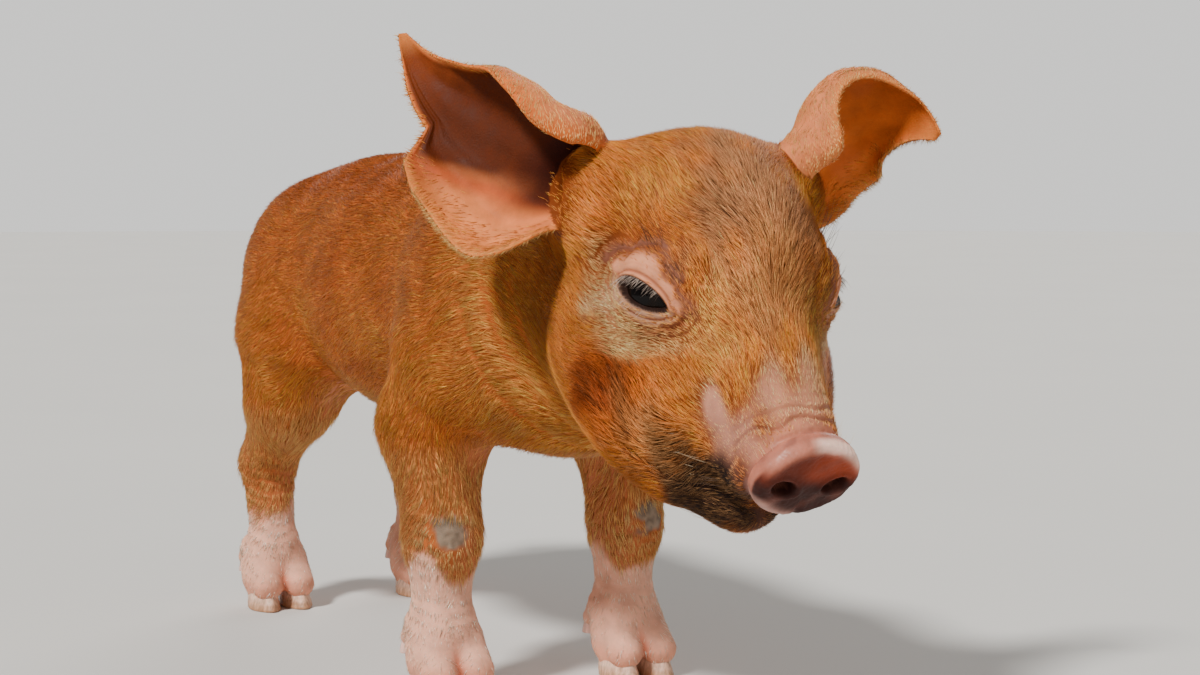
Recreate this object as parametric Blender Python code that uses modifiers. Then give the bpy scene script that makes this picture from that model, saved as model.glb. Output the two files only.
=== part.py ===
"""Young red domestic pig, about four weeks old, standing: a life-size still model.

The pig stands along X and looks towards +X, with its left side at +Y and the floor at Z = 0.
Sizes are in millimetres, and MM turns them into Blender's metres when a mesh is made.
The flesh is modelled whole, as masses that blend into each other, and is then parted with thin cuts.
"""

import math

import bmesh
import bpy
import numpy as np
from mathutils import Matrix, Vector

MM = 0.001
GAP = 0.3
BOTH_SIDES = (("left", 1.0), ("right", -1.0))

# Head frame: origin midway between the eyes, u to the snout, v to the left, w up out of the forehead
EYE_HEIGHT = 158.0
HEAD_PITCH = 52.5
SNOUT_LIFT = 15.0
HEAD_ORIGIN = np.array([0.0, 0.0, EYE_HEIGHT])


def pitched_axes(pitch):
    """Rows are the forward, left and up directions of something that looks down by pitch degrees."""
    lean = math.radians(pitch)
    forward = (math.cos(lean), 0.0, -math.sin(lean))
    up = (math.sin(lean), 0.0, math.cos(lean))
    return np.array([forward, (0.0, 1.0, 0.0), up])


WORLD = np.eye(3)
HEAD = pitched_axes(HEAD_PITCH)
SNOUT = pitched_axes(HEAD_PITCH - SNOUT_LIFT)


def from_head(u, v, w):
    """World place of a point given in the head frame."""
    return HEAD_ORIGIN + np.array([u, v, w]) @ HEAD


# Size and place of the main things
SNOUT_CENTRE = from_head(68.0, 0.0, 0.0)
SNOUT_WIDE, SNOUT_HIGH, SNOUT_THICK, SNOUT_ROUND = 18.5, 15.0, 4.5, 3.0
NOSTRIL_APART, NOSTRIL_DEEP = 9.5, 7.0
EYE_RADIUS, LID_THICK = 11.5, 2.0
EYE_PLACE = (-1.9, 27.3, -1.0)
EYE_GAZE = (0.25, 0.88, 0.40)
EYE_LENGTHWISE = (0.84, -0.40, 0.36)
EYE_LONG, EYE_ABOVE, EYE_BELOW = 10.8, 4.6, 3.4
MOUTH_BACK, MOUTH_GROOVE, MOUTH_DEEP = 27.0, 0.9, 2.4
FORE_X, FORE_Y = -146.0, 40.0
HIND_X, HIND_Y = -346.0, 37.0
TOE_SPREAD = 7.7
CLAW_WIDE, CLAW_LONG, CLAW_HIGH, CLAW_SLANT = 7.4, 11.0, 13.5, 6.5
EAR_THICK = 2.4
TAIL_THICK, TAIL_TIP = 4.6, 1.5
BODY_TRIANGLES = 5700
LEG_BLOCKS = {"foreleg": (-142.0, 150.0, 36.0, 15.0), "hindleg": (-326.0, 166.0, 46.0, 11.0)}
HEAD_CUT = ((-58.0, 0.0, 165.0), 11.0)
NECK_CUT = ((-93.0, 0.0, 150.0), 4.0)

# Masses of flesh: how far each blends, whether it has a twin on the other side, its kind and its sizes
CENTRED, TWIN = False, True
FLESH = (
    # trunk
    (0, CENTRED, "ball", (-146, 0, 152), (71, 51, 50), WORLD),
    (26, CENTRED, "ball", (-226, 0, 152), (88, 57, 58), WORLD),
    (26, CENTRED, "ball", (-300, 0, 158), (67, 49, 49), WORLD),
    (18, TWIN, "ball", (-128, 33, 145), (38, 23, 46), WORLD),
    (18, TWIN, "ball", (-318, 29, 145), (46, 27, 46), WORLD),
    # neck and throat
    (22, CENTRED, "limb", (-112, 0, 156), (-45, 0, 165), 50, 42),
    (18, CENTRED, "limb", (-108, 0, 138), (-50, 0, 140), 44, 34),
    # skull, brow, cheeks and jaw
    (14, CENTRED, "ball", from_head(-22, 0, -4), (39, 37, 36), HEAD),
    (10, TWIN, "ball", from_head(-4, 20, 2), (17, 15.5, 15), HEAD),
    (16, TWIN, "ball", from_head(3, 25, -34), (38, 24, 26), HEAD),
    (14, CENTRED, "limb", from_head(0, 0, -6), from_head(58, 0, -3), 27, 16),
    (12, CENTRED, "limb", from_head(10, 0, -40), from_head(52.5, 0, -34.5), 25, 15),
    (12, TWIN, "ball", from_head(29, 17, -36), (26, 19, 19), HEAD),
    (9, TWIN, "limb", from_head(12, 17, -18), from_head(54, 9, -11), 17, 11),
    (12, TWIN, "limb", from_head(-40, 0, 4), from_head(-42, 30, 0), 18, 17),
    (10, TWIN, "ball", from_head(-44, 36, -8), (17, 13, 18), HEAD),
    (5, TWIN, "ball", from_head(*EYE_PLACE), (EYE_RADIUS + LID_THICK,) * 3, HEAD),
    # forelegs
    (14, TWIN, "limb", (FORE_X + 12, FORE_Y, 128), (FORE_X - 7, FORE_Y, 104), 23, 20),
    (12, TWIN, "limb", (FORE_X - 7, FORE_Y, 104), (FORE_X, FORE_Y, 60), 20, 14.5),
    (8, TWIN, "limb", (FORE_X, FORE_Y, 60), (FORE_X - 2, FORE_Y, 32), 14.5, 12),
    (8, TWIN, "ball", (FORE_X, FORE_Y, 24), (13.5, 13.5, 12), WORLD),
    # hind legs
    (16, TWIN, "limb", (HIND_X + 34, HIND_Y - 2, 124), (HIND_X + 28, HIND_Y, 100), 28, 20),
    (12, TWIN, "limb", (HIND_X + 28, HIND_Y, 100), (HIND_X - 5, HIND_Y, 66), 19, 12.5),
    (7, TWIN, "limb", (HIND_X - 5, HIND_Y, 66), (HIND_X, HIND_Y, 32), 12.5, 11),
    (8, TWIN, "ball", (HIND_X + 1, HIND_Y, 24), (12.5, 13, 12), WORLD),
)

# Ears: places along the deepest line of each cup, from inside the head to the tip,
# and the way the cup opens at its root, in its middle and at its tip
EAR_SPINES = {
    "right": ((-34, -30, 184), (-35, -38, 185), (-37, -45, 187), (-42, -53, 191), (-50, -60, 198),
              (-61, -68, 206), (-71, -74, 217), (-80, -78, 231), (-87, -81, 246)),
    "left": ((-35, 32, 179), (-34, 39, 185), (-35, 46, 194), (-36, 53, 204), (-34, 60, 214),
             (-30, 70, 221), (-20, 80, 221), (-8, 88, 211)),
}
EAR_OPENS = {
    "right": ((0.67, -0.36, 0.65), (0.92, -0.38, -0.03), (0.92, -0.38, -0.03)),
    "left": ((0.67, 0.36, 0.65), (0.82, 0.30, -0.30), (0.63, -0.68, -0.34)),
}
EAR_OPEN_MIDDLE = 0.42
# Share of the ear's length, then the width and the turn in degrees of its front and its back part
EAR_SECTIONS = {
    "right": (
        (0.00, 36, 220, 6, 60), (0.14, 44, 213, 8, 60), (0.27, 52, 203, 11, 60), (0.335, 53, 197, 24, 60),
        (0.40, 53, 187, 34, 60), (0.46, 53, 176, 33, 55), (0.52, 52, 167, 29, 50), (0.64, 45, 150, 25, 40),
        (0.70, 38, 140, 20, 35), (0.76, 29, 128, 18, 30), (0.88, 13, 100, 9, 30), (1.00, 1.5, 40, 1.5, 15),
    ),
    "left": (
        (0.00, 40, 240, 8, 60), (0.14, 46, 225, 14, 60), (0.29, 50, 200, 22, 60), (0.43, 47, 170, 27, 50),
        (0.57, 41, 145, 27, 45), (0.71, 33, 128, 25, 40), (0.86, 13, 105, 19, 30), (1.00, 1.5, 40, 1.5, 15),
    ),
}
# How late the front and the back part of an ear curl: 1 is an even curl
EAR_FRONT_CURL, EAR_BACK_CURL = 2.0, 1.2
# Notch worn in the back edge of the right ear: where along it, and how deep
EAR_NOTCH, EAR_NOTCH_DEEP, EAR_NOTCH_REACH = 0.74, 12.0, 0.04


def ball(points, centre, radii, axes):
    local = (points - centre) @ axes.T
    scaled = np.linalg.norm(local / radii, axis=1)
    steep = np.linalg.norm(local / np.square(radii), axis=1)
    return scaled * (scaled - 1.0) / np.maximum(steep, 1e-9)


def limb(points, start, end, start_radius, end_radius):
    along = np.subtract(end, start)
    share = np.clip((points - start) @ along / (along @ along), 0.0, 1.0)
    spine = start + share[:, None] * along
    return np.linalg.norm(points - spine, axis=1) - (start_radius + share * (end_radius - start_radius))


def snout_disc(points):
    """Distance to the oval disc that ends the snout, with a rounded rim."""
    ahead, side, up = ((points - SNOUT_CENTRE) @ SNOUT.T).T
    reach = np.hypot(side, up)
    oval = np.hypot(side / SNOUT_WIDE, up / SNOUT_HIGH)
    radial = reach * (1.0 - 1.0 / np.maximum(oval, 1e-6)) + SNOUT_ROUND
    axial = np.abs(ahead) - SNOUT_THICK + SNOUT_ROUND
    outside = np.hypot(np.maximum(radial, 0.0), np.maximum(axial, 0.0))
    return outside + np.minimum(np.maximum(radial, axial), 0.0) - SNOUT_ROUND


def blend(first, second, reach):
    """Smooth union of two distances over the width reach."""
    if reach <= 0:
        return np.minimum(first, second)
    share = np.clip(0.5 + 0.5 * (second - first) / reach, 0.0, 1.0)
    return second + (first - second) * share - reach * share * (1.0 - share)


def toes():
    """The flesh of the two main toes and the two dewclaws of each foot."""
    masses = []
    for foot_x, foot_y in ((FORE_X, FORE_Y), (HIND_X, HIND_Y)):
        for away in (-1.0, 1.0):
            toe_y = foot_y + away * TOE_SPREAD
            masses.append((5, TWIN, "limb", (foot_x + 2, toe_y, 19), (foot_x + 14, toe_y, 11), 8.5, 7.0))
            masses.append((4, TWIN, "limb", (foot_x + 2, toe_y, 12), (foot_x + 5, toe_y, 8), 7.5, 6.5))
            dew_y = foot_y + away * 8.5
            masses.append((3, TWIN, "limb", (foot_x - 6, dew_y, 27), (foot_x - 12, dew_y, 21), 5.5, 4.6))
    return masses


MASSES = list(FLESH) + toes()


def flesh(points):
    """Distance in millimetres from each point to the skin, below zero inside."""
    folded = points.copy()
    folded[:, 1] = np.abs(folded[:, 1])
    distance = np.full(len(points), 1e3)
    for reach, _, kind, *sizes in MASSES:
        distance = blend(distance, (ball if kind == "ball" else limb)(folded, *sizes), reach)
    return blend(distance, snout_disc(folded), 4.0)


def slope(points, step=0.2):
    """Gradient of the distance by central differences."""
    steps = np.eye(3) * step
    return np.stack([flesh(points + s) - flesh(points - s) for s in steps], axis=1) / (2 * step)


def onto_skin(points, rounds=4, depth=0.0):
    """Points moved along the gradient until they lie on the skin, or depth under it."""
    for _ in range(rounds):
        normal = slope(points)
        length = np.maximum(np.sum(normal * normal, axis=1), 0.05)
        points = points - ((flesh(points) + depth) / length)[:, None] * normal
    return points


# Blender meshes
def link(name, mesh):
    made = bpy.data.objects.new(name, mesh)
    bpy.context.scene.collection.objects.link(made)
    return made


def from_bmesh(name, made):
    bmesh.ops.recalc_face_normals(made, faces=made.faces)
    mesh = bpy.data.meshes.new(name)
    made.to_mesh(mesh)
    made.free()
    return link(name, mesh)


def sphere_mesh(name, centre, radii, axes=WORLD, around=16, rings=10):
    made = bmesh.new()
    bmesh.ops.create_uvsphere(made, u_segments=around, v_segments=rings, radius=1.0)
    place = Matrix.Translation(Vector(centre) * MM) @ Matrix(axes.T).to_4x4()
    bmesh.ops.transform(made, matrix=place @ Matrix.Diagonal((*np.multiply(radii, MM), 1.0)), verts=made.verts)
    return from_bmesh(name, made)


def limb_mesh(name, start, end, start_radius, end_radius):
    """A cone with a ball on each end."""
    start, end = Vector(start) * MM, Vector(end) * MM
    made = bmesh.new()
    turn = (end - start).to_track_quat("Z", "Y").to_matrix().to_4x4()
    middle = Matrix.Translation((start + end) / 2) @ turn
    bmesh.ops.create_cone(
        made, cap_ends=True, segments=24, radius1=start_radius * MM, radius2=end_radius * MM,
        depth=(end - start).length, matrix=middle,
    )
    for place, radius in ((start, start_radius), (end, end_radius)):
        bmesh.ops.create_uvsphere(
            made, u_segments=24, v_segments=14, radius=radius * MM, matrix=Matrix.Translation(place)
        )
    return from_bmesh(name, made)


def modified(made, kind, **settings):
    """Adds a modifier and applies it."""
    modifier = made.modifiers.new(kind.title(), kind)
    for name, value in settings.items():
        setattr(modifier, name, value)
    bpy.context.view_layer.update()
    graph = bpy.context.evaluated_depsgraph_get()
    mesh = bpy.data.meshes.new_from_object(made.evaluated_get(graph))
    made.modifiers.clear()
    old = made.data
    made.data = mesh
    bpy.data.meshes.remove(old)
    return made


def joined(name, pieces):
    made = bmesh.new()
    for piece in pieces:
        made.from_mesh(piece.data)
    for piece in pieces:
        bpy.data.objects.remove(piece)
    return from_bmesh(name, made)


def coordinates(mesh):
    points = np.empty(len(mesh.vertices) * 3)
    mesh.vertices.foreach_get("co", points)
    return points.reshape(-1, 3) / MM


def set_coordinates(mesh, points):
    mesh.vertices.foreach_set("co", (points * MM).ravel())
    mesh.update()


def evened(mesh, points, share=0.5):
    """Each point moved towards the mean of its neighbours."""
    edges = np.empty(len(mesh.edges) * 2, dtype=np.int64)
    mesh.edges.foreach_get("vertices", edges)
    first, second = edges.reshape(-1, 2).T
    total = np.zeros_like(points)
    count = np.zeros(len(points))
    for here, there in ((first, second), (second, first)):
        np.add.at(total, here, points[there])
        np.add.at(count, here, 1.0)
    mean = total / np.maximum(count, 1.0)[:, None]
    return points + share * (mean - points)


def body_mesh(name, voxel):
    """The whole flesh as one closed mesh: the masses fused, then moved onto the blended skin."""
    pieces = []
    for number, (_, twin, kind, *sizes) in enumerate(MASSES):
        make = sphere_mesh if kind == "ball" else limb_mesh
        piece = make(f"mass_{number}", *sizes)
        pieces.append(piece)
        if twin:
            mirrored = link(f"mass_{number}_twin", piece.data.copy())
            mirrored.data.transform(Matrix.Diagonal((1, -1, 1, 1)))
            mirrored.data.flip_normals()
            pieces.append(mirrored)
    disc_sizes = (SNOUT_THICK, SNOUT_WIDE, SNOUT_HIGH)
    pieces.append(sphere_mesh("mass_disc", SNOUT_CENTRE, disc_sizes, SNOUT))
    body = joined(name, pieces)
    for _ in range(2):
        modified(body, "REMESH", mode="VOXEL", voxel_size=voxel * MM, adaptivity=0.0)
        points = coordinates(body.data)
        for _ in range(3):
            points = onto_skin(evened(body.data, points), rounds=2)
        set_coordinates(body.data, points)
    modified(body, "TRIANGULATE")
    return modified(body, "DECIMATE", decimate_type="COLLAPSE", ratio=BODY_TRIANGLES / len(body.data.polygons))


def boolean(made, other, operation):
    """Cuts, joins or keeps what two closed meshes share, and removes the other."""
    modified(made, "BOOLEAN", operation=operation, object=other, solver="MANIFOLD")
    bpy.data.objects.remove(other)
    return made


def largest(made):
    """Keeps the largest closed surface of the mesh and drops loose scraps."""
    shape = bmesh.new()
    shape.from_mesh(made.data)
    left = set(shape.verts)
    groups = []
    while left:
        front = [left.pop()]
        group = list(front)
        while front:
            vertex = front.pop()
            for edge in vertex.link_edges:
                other = edge.other_vert(vertex)
                if other in left:
                    left.remove(other)
                    front.append(other)
                    group.append(other)
        groups.append(group)
    groups.sort(key=len)
    for group in groups[:-1]:
        bmesh.ops.delete(shape, geom=group, context="VERTS")
    shape.to_mesh(made.data)
    shape.free()
    return made


def copied(made, name):
    return link(name, made.data.copy())


def placed(axes, centre):
    """Matrix that puts a shape made in millimetres in its own axes (rows) at a place in metres."""
    return Matrix.Translation(Vector(centre) * MM) @ Matrix(np.array(axes).T).to_4x4() @ Matrix.Scale(MM, 4)


def prism(name, axes, centre, depth, outline, sides=28):
    """A closed prism along the first axis, its section given by outline(angle) in the other two."""
    shape = bmesh.new()
    bmesh.ops.create_cone(shape, cap_ends=True, segments=sides, radius1=1.0, radius2=1.0, depth=1.0)
    for vertex in shape.verts:
        angle = math.atan2(vertex.co.y, vertex.co.x)
        vertex.co = (vertex.co.z * depth, *outline(angle))
    bmesh.ops.transform(shape, matrix=placed(axes, centre), verts=shape.verts)
    return from_bmesh(name, shape)


# Ears
def ear_sheet(name, side, sign, rows=25, columns=13):
    """A thin closed shell, cupped across and bent along its spine."""
    spine = np.array(EAR_SPINES[side], dtype=float)
    stations = np.linspace(0.0, 1.0, len(spine))
    curve = np.polynomial.polynomial.Polynomial
    fits = [curve.fit(stations, spine[:, axis], 4) for axis in range(3)]
    along = np.linspace(0.0, 1.0, rows)
    centre = np.stack([fit(along) for fit in fits], axis=1)
    tangent = np.stack([fit.deriv()(along) for fit in fits], axis=1)
    tangent /= np.linalg.norm(tangent, axis=1)[:, None]
    opens = np.array(EAR_OPENS[side]).T
    opening = np.stack([np.interp(along, (0.0, EAR_OPEN_MIDDLE, 1.0), row) for row in opens], axis=1)
    opening -= np.sum(opening * tangent, axis=1)[:, None] * tangent
    opening /= np.linalg.norm(opening, axis=1)[:, None]
    across = -sign * np.cross(tangent, opening)
    table = np.array(EAR_SECTIONS[side]).T
    sizes = [np.interp(along, table[0], row) for row in table[1:]]
    if side == "right":
        dip = np.clip((along - EAR_NOTCH + EAR_NOTCH_REACH) / EAR_NOTCH_REACH, 0.0, 1.0)
        heal = np.clip((along - EAR_NOTCH) / 0.28, 0.0, 1.0)
        sizes[2] = sizes[2] - EAR_NOTCH_DEEP * dip * (1.0 - heal)
    shape = bmesh.new()
    bmesh.ops.create_grid(shape, x_segments=columns - 1, y_segments=rows - 1, size=0.5)
    for vertex in shape.verts:
        share, row = 2.0 * vertex.co.x, round((vertex.co.y + 0.5) * (rows - 1))
        front = share > 0
        wide, turn = (sizes[0][row], sizes[1][row]) if front else (sizes[2][row], sizes[3][row])
        steps = (np.arange(24) + 0.5) / 24 * abs(share)
        lean = np.radians(turn) * steps ** (EAR_FRONT_CURL if front else EAR_BACK_CURL)
        reach = wide * abs(share) * np.cos(lean).mean()
        rise = wide * abs(share) * np.sin(lean).mean()
        place = centre[row] + math.copysign(reach, share) * across[row] + rise * opening[row]
        vertex.co = Vector(place) * MM
    ear = from_bmesh(name, shape)
    modified(ear, "SOLIDIFY", thickness=EAR_THICK * MM, offset=0.0, use_even_offset=False, use_rim=True)
    return joined(name, [ear])


def swollen(made, name):
    """A copy with its skin pushed out, to cut a seat with a gap all round."""
    return modified(copied(made, name), "DISPLACE", strength=1.5 * GAP * MM, mid_level=0.0)


# Eyes, lids, nostrils and mouth
def mouth_line(ahead):
    """Height of the line of the mouth in the head frame: low along the lip, rising to the disc."""
    return -32.0 + 14.0 * max(0.0, (ahead - MOUTH_BACK) / 43.0) ** 2.2


def head_side(vector, sign):
    """A head-frame vector mirrored to one side and turned into the world."""
    return (np.array(vector) * (1.0, sign, 1.0)) @ HEAD


def eye_axes(sign):
    gaze = head_side(EYE_GAZE, sign)
    gaze /= np.linalg.norm(gaze)
    length = head_side(EYE_LENGTHWISE, sign)
    length -= (length @ gaze) * gaze
    length /= np.linalg.norm(length)
    return np.array([gaze, length, np.cross(gaze, length) * sign * -1.0])


def lid_opening(sign):
    def outline(angle):
        height = EYE_ABOVE if math.sin(angle) > 0 else EYE_BELOW
        return EYE_LONG * math.cos(angle), height * math.copysign(abs(math.sin(angle)) ** 1.3, math.sin(angle))
    axes = eye_axes(sign)
    centre = from_head(*(np.array(EYE_PLACE) * (1, sign, 1))) + 15.0 * axes[0]
    return prism("cut_lids", axes, centre, 20.0, outline)


def nostril(sign):
    def outline(angle):
        return 4.6 * math.cos(angle), 3.0 * math.sin(angle)
    centre = SNOUT_CENTRE + sign * NOSTRIL_APART * SNOUT[1] - 1.0 * SNOUT[2] + SNOUT_THICK * SNOUT[0]
    return prism("cut_nostril", SNOUT, centre, 2 * NOSTRIL_DEEP, outline, sides=20)


def mouth_groove(head):
    """The line of the mouth: a curved slab less the inside of the muzzle, so it only cuts the skin."""
    shape = bmesh.new()
    bmesh.ops.create_grid(shape, x_segments=14, y_segments=8, size=0.5)
    for vertex in shape.verts:
        ahead = MOUTH_BACK + (vertex.co.x + 0.5) * 55.0
        down = mouth_line(ahead)
        vertex.co = Vector(from_head(ahead, vertex.co.y * 90.0, down)) * MM
    slab = from_bmesh("cut_mouth", shape)
    modified(slab, "SOLIDIFY", thickness=MOUTH_GROOVE * MM, offset=0.0, use_rim=True)
    inside = copied(head, "cut_inside")
    set_coordinates(inside.data, onto_skin(coordinates(inside.data), depth=MOUTH_DEEP))
    return boolean(slab, inside, "DIFFERENCE")


# Claws
def claw(name, place, wide, long, high, slant, roomy=False):
    """A blunt horn shoe: flat sole, sloping front wall, lower at the heel.

    A roomy one is the cutter that makes way for it: a gap larger on top, and wide and deep enough
    everywhere else to leave no flesh round the shoe.
    """
    shape = bmesh.new()
    bmesh.ops.create_cone(shape, cap_ends=True, segments=18, radius1=1.0, radius2=0.82, depth=1.0)
    for vertex in shape.verts:
        top, ahead = vertex.co.z + 0.5, vertex.co.x * long
        side = vertex.co.y * wide * (1.0 - 0.55 * max(vertex.co.x, 0.0) ** 1.5)
        if roomy:
            ahead, side = ahead * (1.0 + 1.2 / long) + 0.7, side * 1.25
        rise = high * (0.78 + 0.22 * ahead / long) + GAP * roomy
        vertex.co = (ahead - slant * top, side, rise if top > 0.5 else -3.0 * roomy)
    bmesh.ops.translate(shape, vec=place, verts=shape.verts)
    bmesh.ops.scale(shape, vec=(MM, MM, MM), verts=shape.verts)
    return from_bmesh(name, shape)


def foot_claws(foot, side, sign):
    """Places and sizes of the four claws of one foot."""
    foot_x, foot_y = (FORE_X, FORE_Y) if foot.startswith("fore") else (HIND_X, HIND_Y)
    found = {}
    for which, away in (("inner", -1.0), ("outer", 1.0)):
        across = sign * (foot_y + away * TOE_SPREAD)
        found[f"claw_{foot}_{side}_{which}"] = ((foot_x + 12, across, 0), CLAW_WIDE, CLAW_LONG, CLAW_HIGH, CLAW_SLANT)
        across = sign * (foot_y + away * 8.5)
        found[f"dewclaw_{foot}_{side}_{which}"] = ((foot_x - 14, across, 14), 3.6, 3.6, 8.0, -2.0)
    return found


# Tail
def tail_mesh(name, extra):
    """A thin tail with one loop, as a tapered tube round a curve."""
    curve = bpy.data.curves.new(name, "CURVE")
    curve.dimensions = "3D"
    curve.bevel_depth = MM
    curve.bevel_resolution = 2
    curve.use_fill_caps = True
    path = curve.splines.new("NURBS")
    count = 22
    path.points.add(count - 1)
    for number, point in enumerate(path.points):
        share = number / (count - 1)
        turn = math.radians(max(0.0, share - 0.12) * 470.0)
        loop = 12.0 * min(1.0, share / 0.25)
        place = Vector((
            -352.0 - 26.0 * min(1.0, share / 0.3) + 2.0 * share - 7.0 * math.sin(turn) * share,
            loop * math.sin(turn) * 0.9,
            181.0 - 12.0 * share - loop * (1.0 - math.cos(turn)) * 0.9,
        ))
        point.co = (*(place * MM), 1.0)
        point.radius = TAIL_THICK + (TAIL_TIP - TAIL_THICK) * share ** 0.8 + extra
    path.use_endpoint_u = True
    path.order_u = 4
    path.resolution_u = 2
    made = link(name, curve)
    graph = bpy.context.evaluated_depsgraph_get()
    mesh = bpy.data.meshes.new_from_object(made.evaluated_get(graph))
    bpy.data.objects.remove(made)
    shape = bmesh.new()
    shape.from_mesh(mesh)
    bmesh.ops.remove_doubles(shape, verts=shape.verts, dist=1e-6)
    return from_bmesh(name, shape)


# Cutters that part the flesh
def half_space(cut, keep_front):
    """A large block on one side of a cut plane, half a gap away from it."""
    point, forward_lean = cut
    size = 600.0
    side = 1.0 if keep_front else -1.0
    shape = bmesh.new()
    bmesh.ops.create_cube(shape, size=size * MM)
    turn = Matrix.Rotation(math.radians(forward_lean), 4, "Y")
    shift = Matrix.Translation((side * (size / 2 + GAP / 2) * MM, 0, 0))
    bmesh.ops.transform(shape, matrix=Matrix.Translation(Vector(point) * MM) @ turn @ shift, verts=shape.verts)
    return from_bmesh("cut_block", shape)


def leg_block(block, sign, grow):
    """An arch-topped block round one leg, from below the floor up into the flank."""
    centre_x, top_z, radius, inner_y = block
    outer_y = 120.0
    inner = inner_y - grow
    shape = bmesh.new()
    place = Matrix.Translation(Vector((centre_x, sign * (inner + outer_y) / 2, top_z - radius)) * MM)
    bmesh.ops.create_cone(
        shape, cap_ends=True, segments=32, radius1=(radius + grow) * MM, radius2=(radius + grow) * MM,
        depth=(outer_y - inner) * MM, matrix=place @ Matrix.Rotation(math.radians(90), 4, "X"),
    )
    for vertex in shape.verts:
        if vertex.co.z < (top_z - radius - 0.01) * MM:
            vertex.co.z -= 200 * MM
    return from_bmesh("cut_leg", shape)


def snout_block(grow):
    def outline(angle):
        return (SNOUT_WIDE + 3.5 + grow) * math.cos(angle), (SNOUT_HIGH + 1.5 + grow) * math.sin(angle)
    depth = 30.0
    centre = SNOUT_CENTRE + (depth / 2 - SNOUT_THICK - 2.0 - grow) * SNOUT[0]
    return prism("cut_snout", SNOUT, centre, depth, outline, sides=40)


# Materials
def material(name, colour, roughness):
    made = bpy.data.materials.new(name)
    made.use_nodes = True
    shader = made.node_tree.nodes["Principled BSDF"]
    shader.inputs["Base Color"].default_value = (*colour, 1.0)
    shader.inputs["Roughness"].default_value = roughness
    return made


def parted(body):
    """The body's flesh cut into its nodes with thin gaps."""
    nodes = {}
    head = boolean(copied(body, "head"), half_space(HEAD_CUT, True), "INTERSECT")
    nodes["snout"] = boolean(copied(head, "snout"), snout_block(-GAP / 2), "INTERSECT")
    nodes["head"] = boolean(head, snout_block(GAP / 2), "DIFFERENCE")
    neck = boolean(copied(body, "neck"), half_space(HEAD_CUT, False), "INTERSECT")
    nodes["neck"] = boolean(neck, half_space(NECK_CUT, True), "INTERSECT")
    torso = boolean(body, half_space(NECK_CUT, False), "INTERSECT")
    for foot, block in LEG_BLOCKS.items():
        for side, sign in BOTH_SIDES:
            name = f"{foot}_{side}"
            nodes[name] = boolean(copied(torso, name), leg_block(block, sign, -GAP / 2), "INTERSECT")
    for block in LEG_BLOCKS.values():
        for _, sign in BOTH_SIDES:
            boolean(torso, leg_block(block, sign, GAP / 2), "DIFFERENCE")
    nodes["torso"] = torso
    return nodes


def main():
    for leftover in list(bpy.data.objects):
        bpy.data.objects.remove(leftover)
    nodes = parted(body_mesh("body", 3.0))
    boolean(nodes["head"], mouth_groove(nodes["head"]), "DIFFERENCE")
    for side, sign in BOTH_SIDES:
        nodes[f"ear_{side}"] = ear_sheet(f"ear_{side}", side, sign)
        boolean(nodes["head"], swollen(nodes[f"ear_{side}"], "cut_ear"), "DIFFERENCE")
        place = from_head(*(np.array(EYE_PLACE) * (1, sign, 1)))
        nodes[f"eye_{side}"] = sphere_mesh(f"eye_{side}", place, (EYE_RADIUS,) * 3, eye_axes(sign))
        socket = sphere_mesh("cut_socket", place, (EYE_RADIUS + GAP,) * 3, eye_axes(sign))
        boolean(nodes["head"], socket, "DIFFERENCE")
        boolean(nodes["head"], lid_opening(sign), "DIFFERENCE")
        boolean(nodes["snout"], nostril(sign), "DIFFERENCE")
        for foot in LEG_BLOCKS:
            leg = nodes[f"{foot}_{side}"]
            for name, sizes in foot_claws(foot, side, sign).items():
                nodes[name] = claw(name, *sizes)
                boolean(leg, claw("cut_claw", *sizes, roomy=True), "DIFFERENCE")
    nodes["tail"] = tail_mesh("tail", 0.0)
    boolean(nodes["torso"], tail_mesh("cut_tail", GAP), "DIFFERENCE")

    skins = {
        "coat": material("coat", (0.62, 0.26, 0.07), 0.8),
        "bare_skin": material("bare_skin", (0.78, 0.42, 0.34), 0.6),
        "horn": material("horn", (0.72, 0.60, 0.48), 0.5),
        "eye": material("eye", (0.02, 0.012, 0.01), 0.1),
    }
    pig = bpy.data.collections.new("young_red_pig")
    bpy.context.scene.collection.children.link(pig)
    for name, made in nodes.items():
        largest(made)
        kind = {"snout": "bare_skin", "eye": "eye", "claw": "horn", "dewclaw": "horn"}.get(name.split("_")[0], "coat")
        made.name = name
        made.data.name = name
        made.data.materials.clear()
        made.data.materials.append(skins[kind])
        bpy.context.scene.collection.objects.unlink(made)
        pig.objects.link(made)
    corners = np.concatenate([coordinates(made.data) for made in nodes.values()])
    low, high = corners.min(axis=0), corners.max(axis=0)
    shift = Vector(((low[0] + high[0]) / 2, (low[1] + high[1]) / 2, low[2])) * -MM
    for made in nodes.values():
        made.data.transform(Matrix.Translation(shift))
        made.data.shade_smooth()


if __name__ == "__main__":
    main()
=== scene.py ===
"""Looks of the young red domestic pig: its skin, coat, eyes, lashes, claws, floor, light and camera.

Shapes are worked out in millimetres in the frame in which the animal was modelled, and are moved to the
row frame, in metres, when a mesh is made. The skin is the same blend of masses as the solids, a coat's
depth further in, with the ears and the tail grown into it.
"""

import math

import bmesh
import bpy
import numpy as np
from bpy.props import FloatProperty, FloatVectorProperty, IntProperty, PointerProperty
from mathutils import Matrix, Vector
from mathutils.kdtree import KDTree


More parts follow.
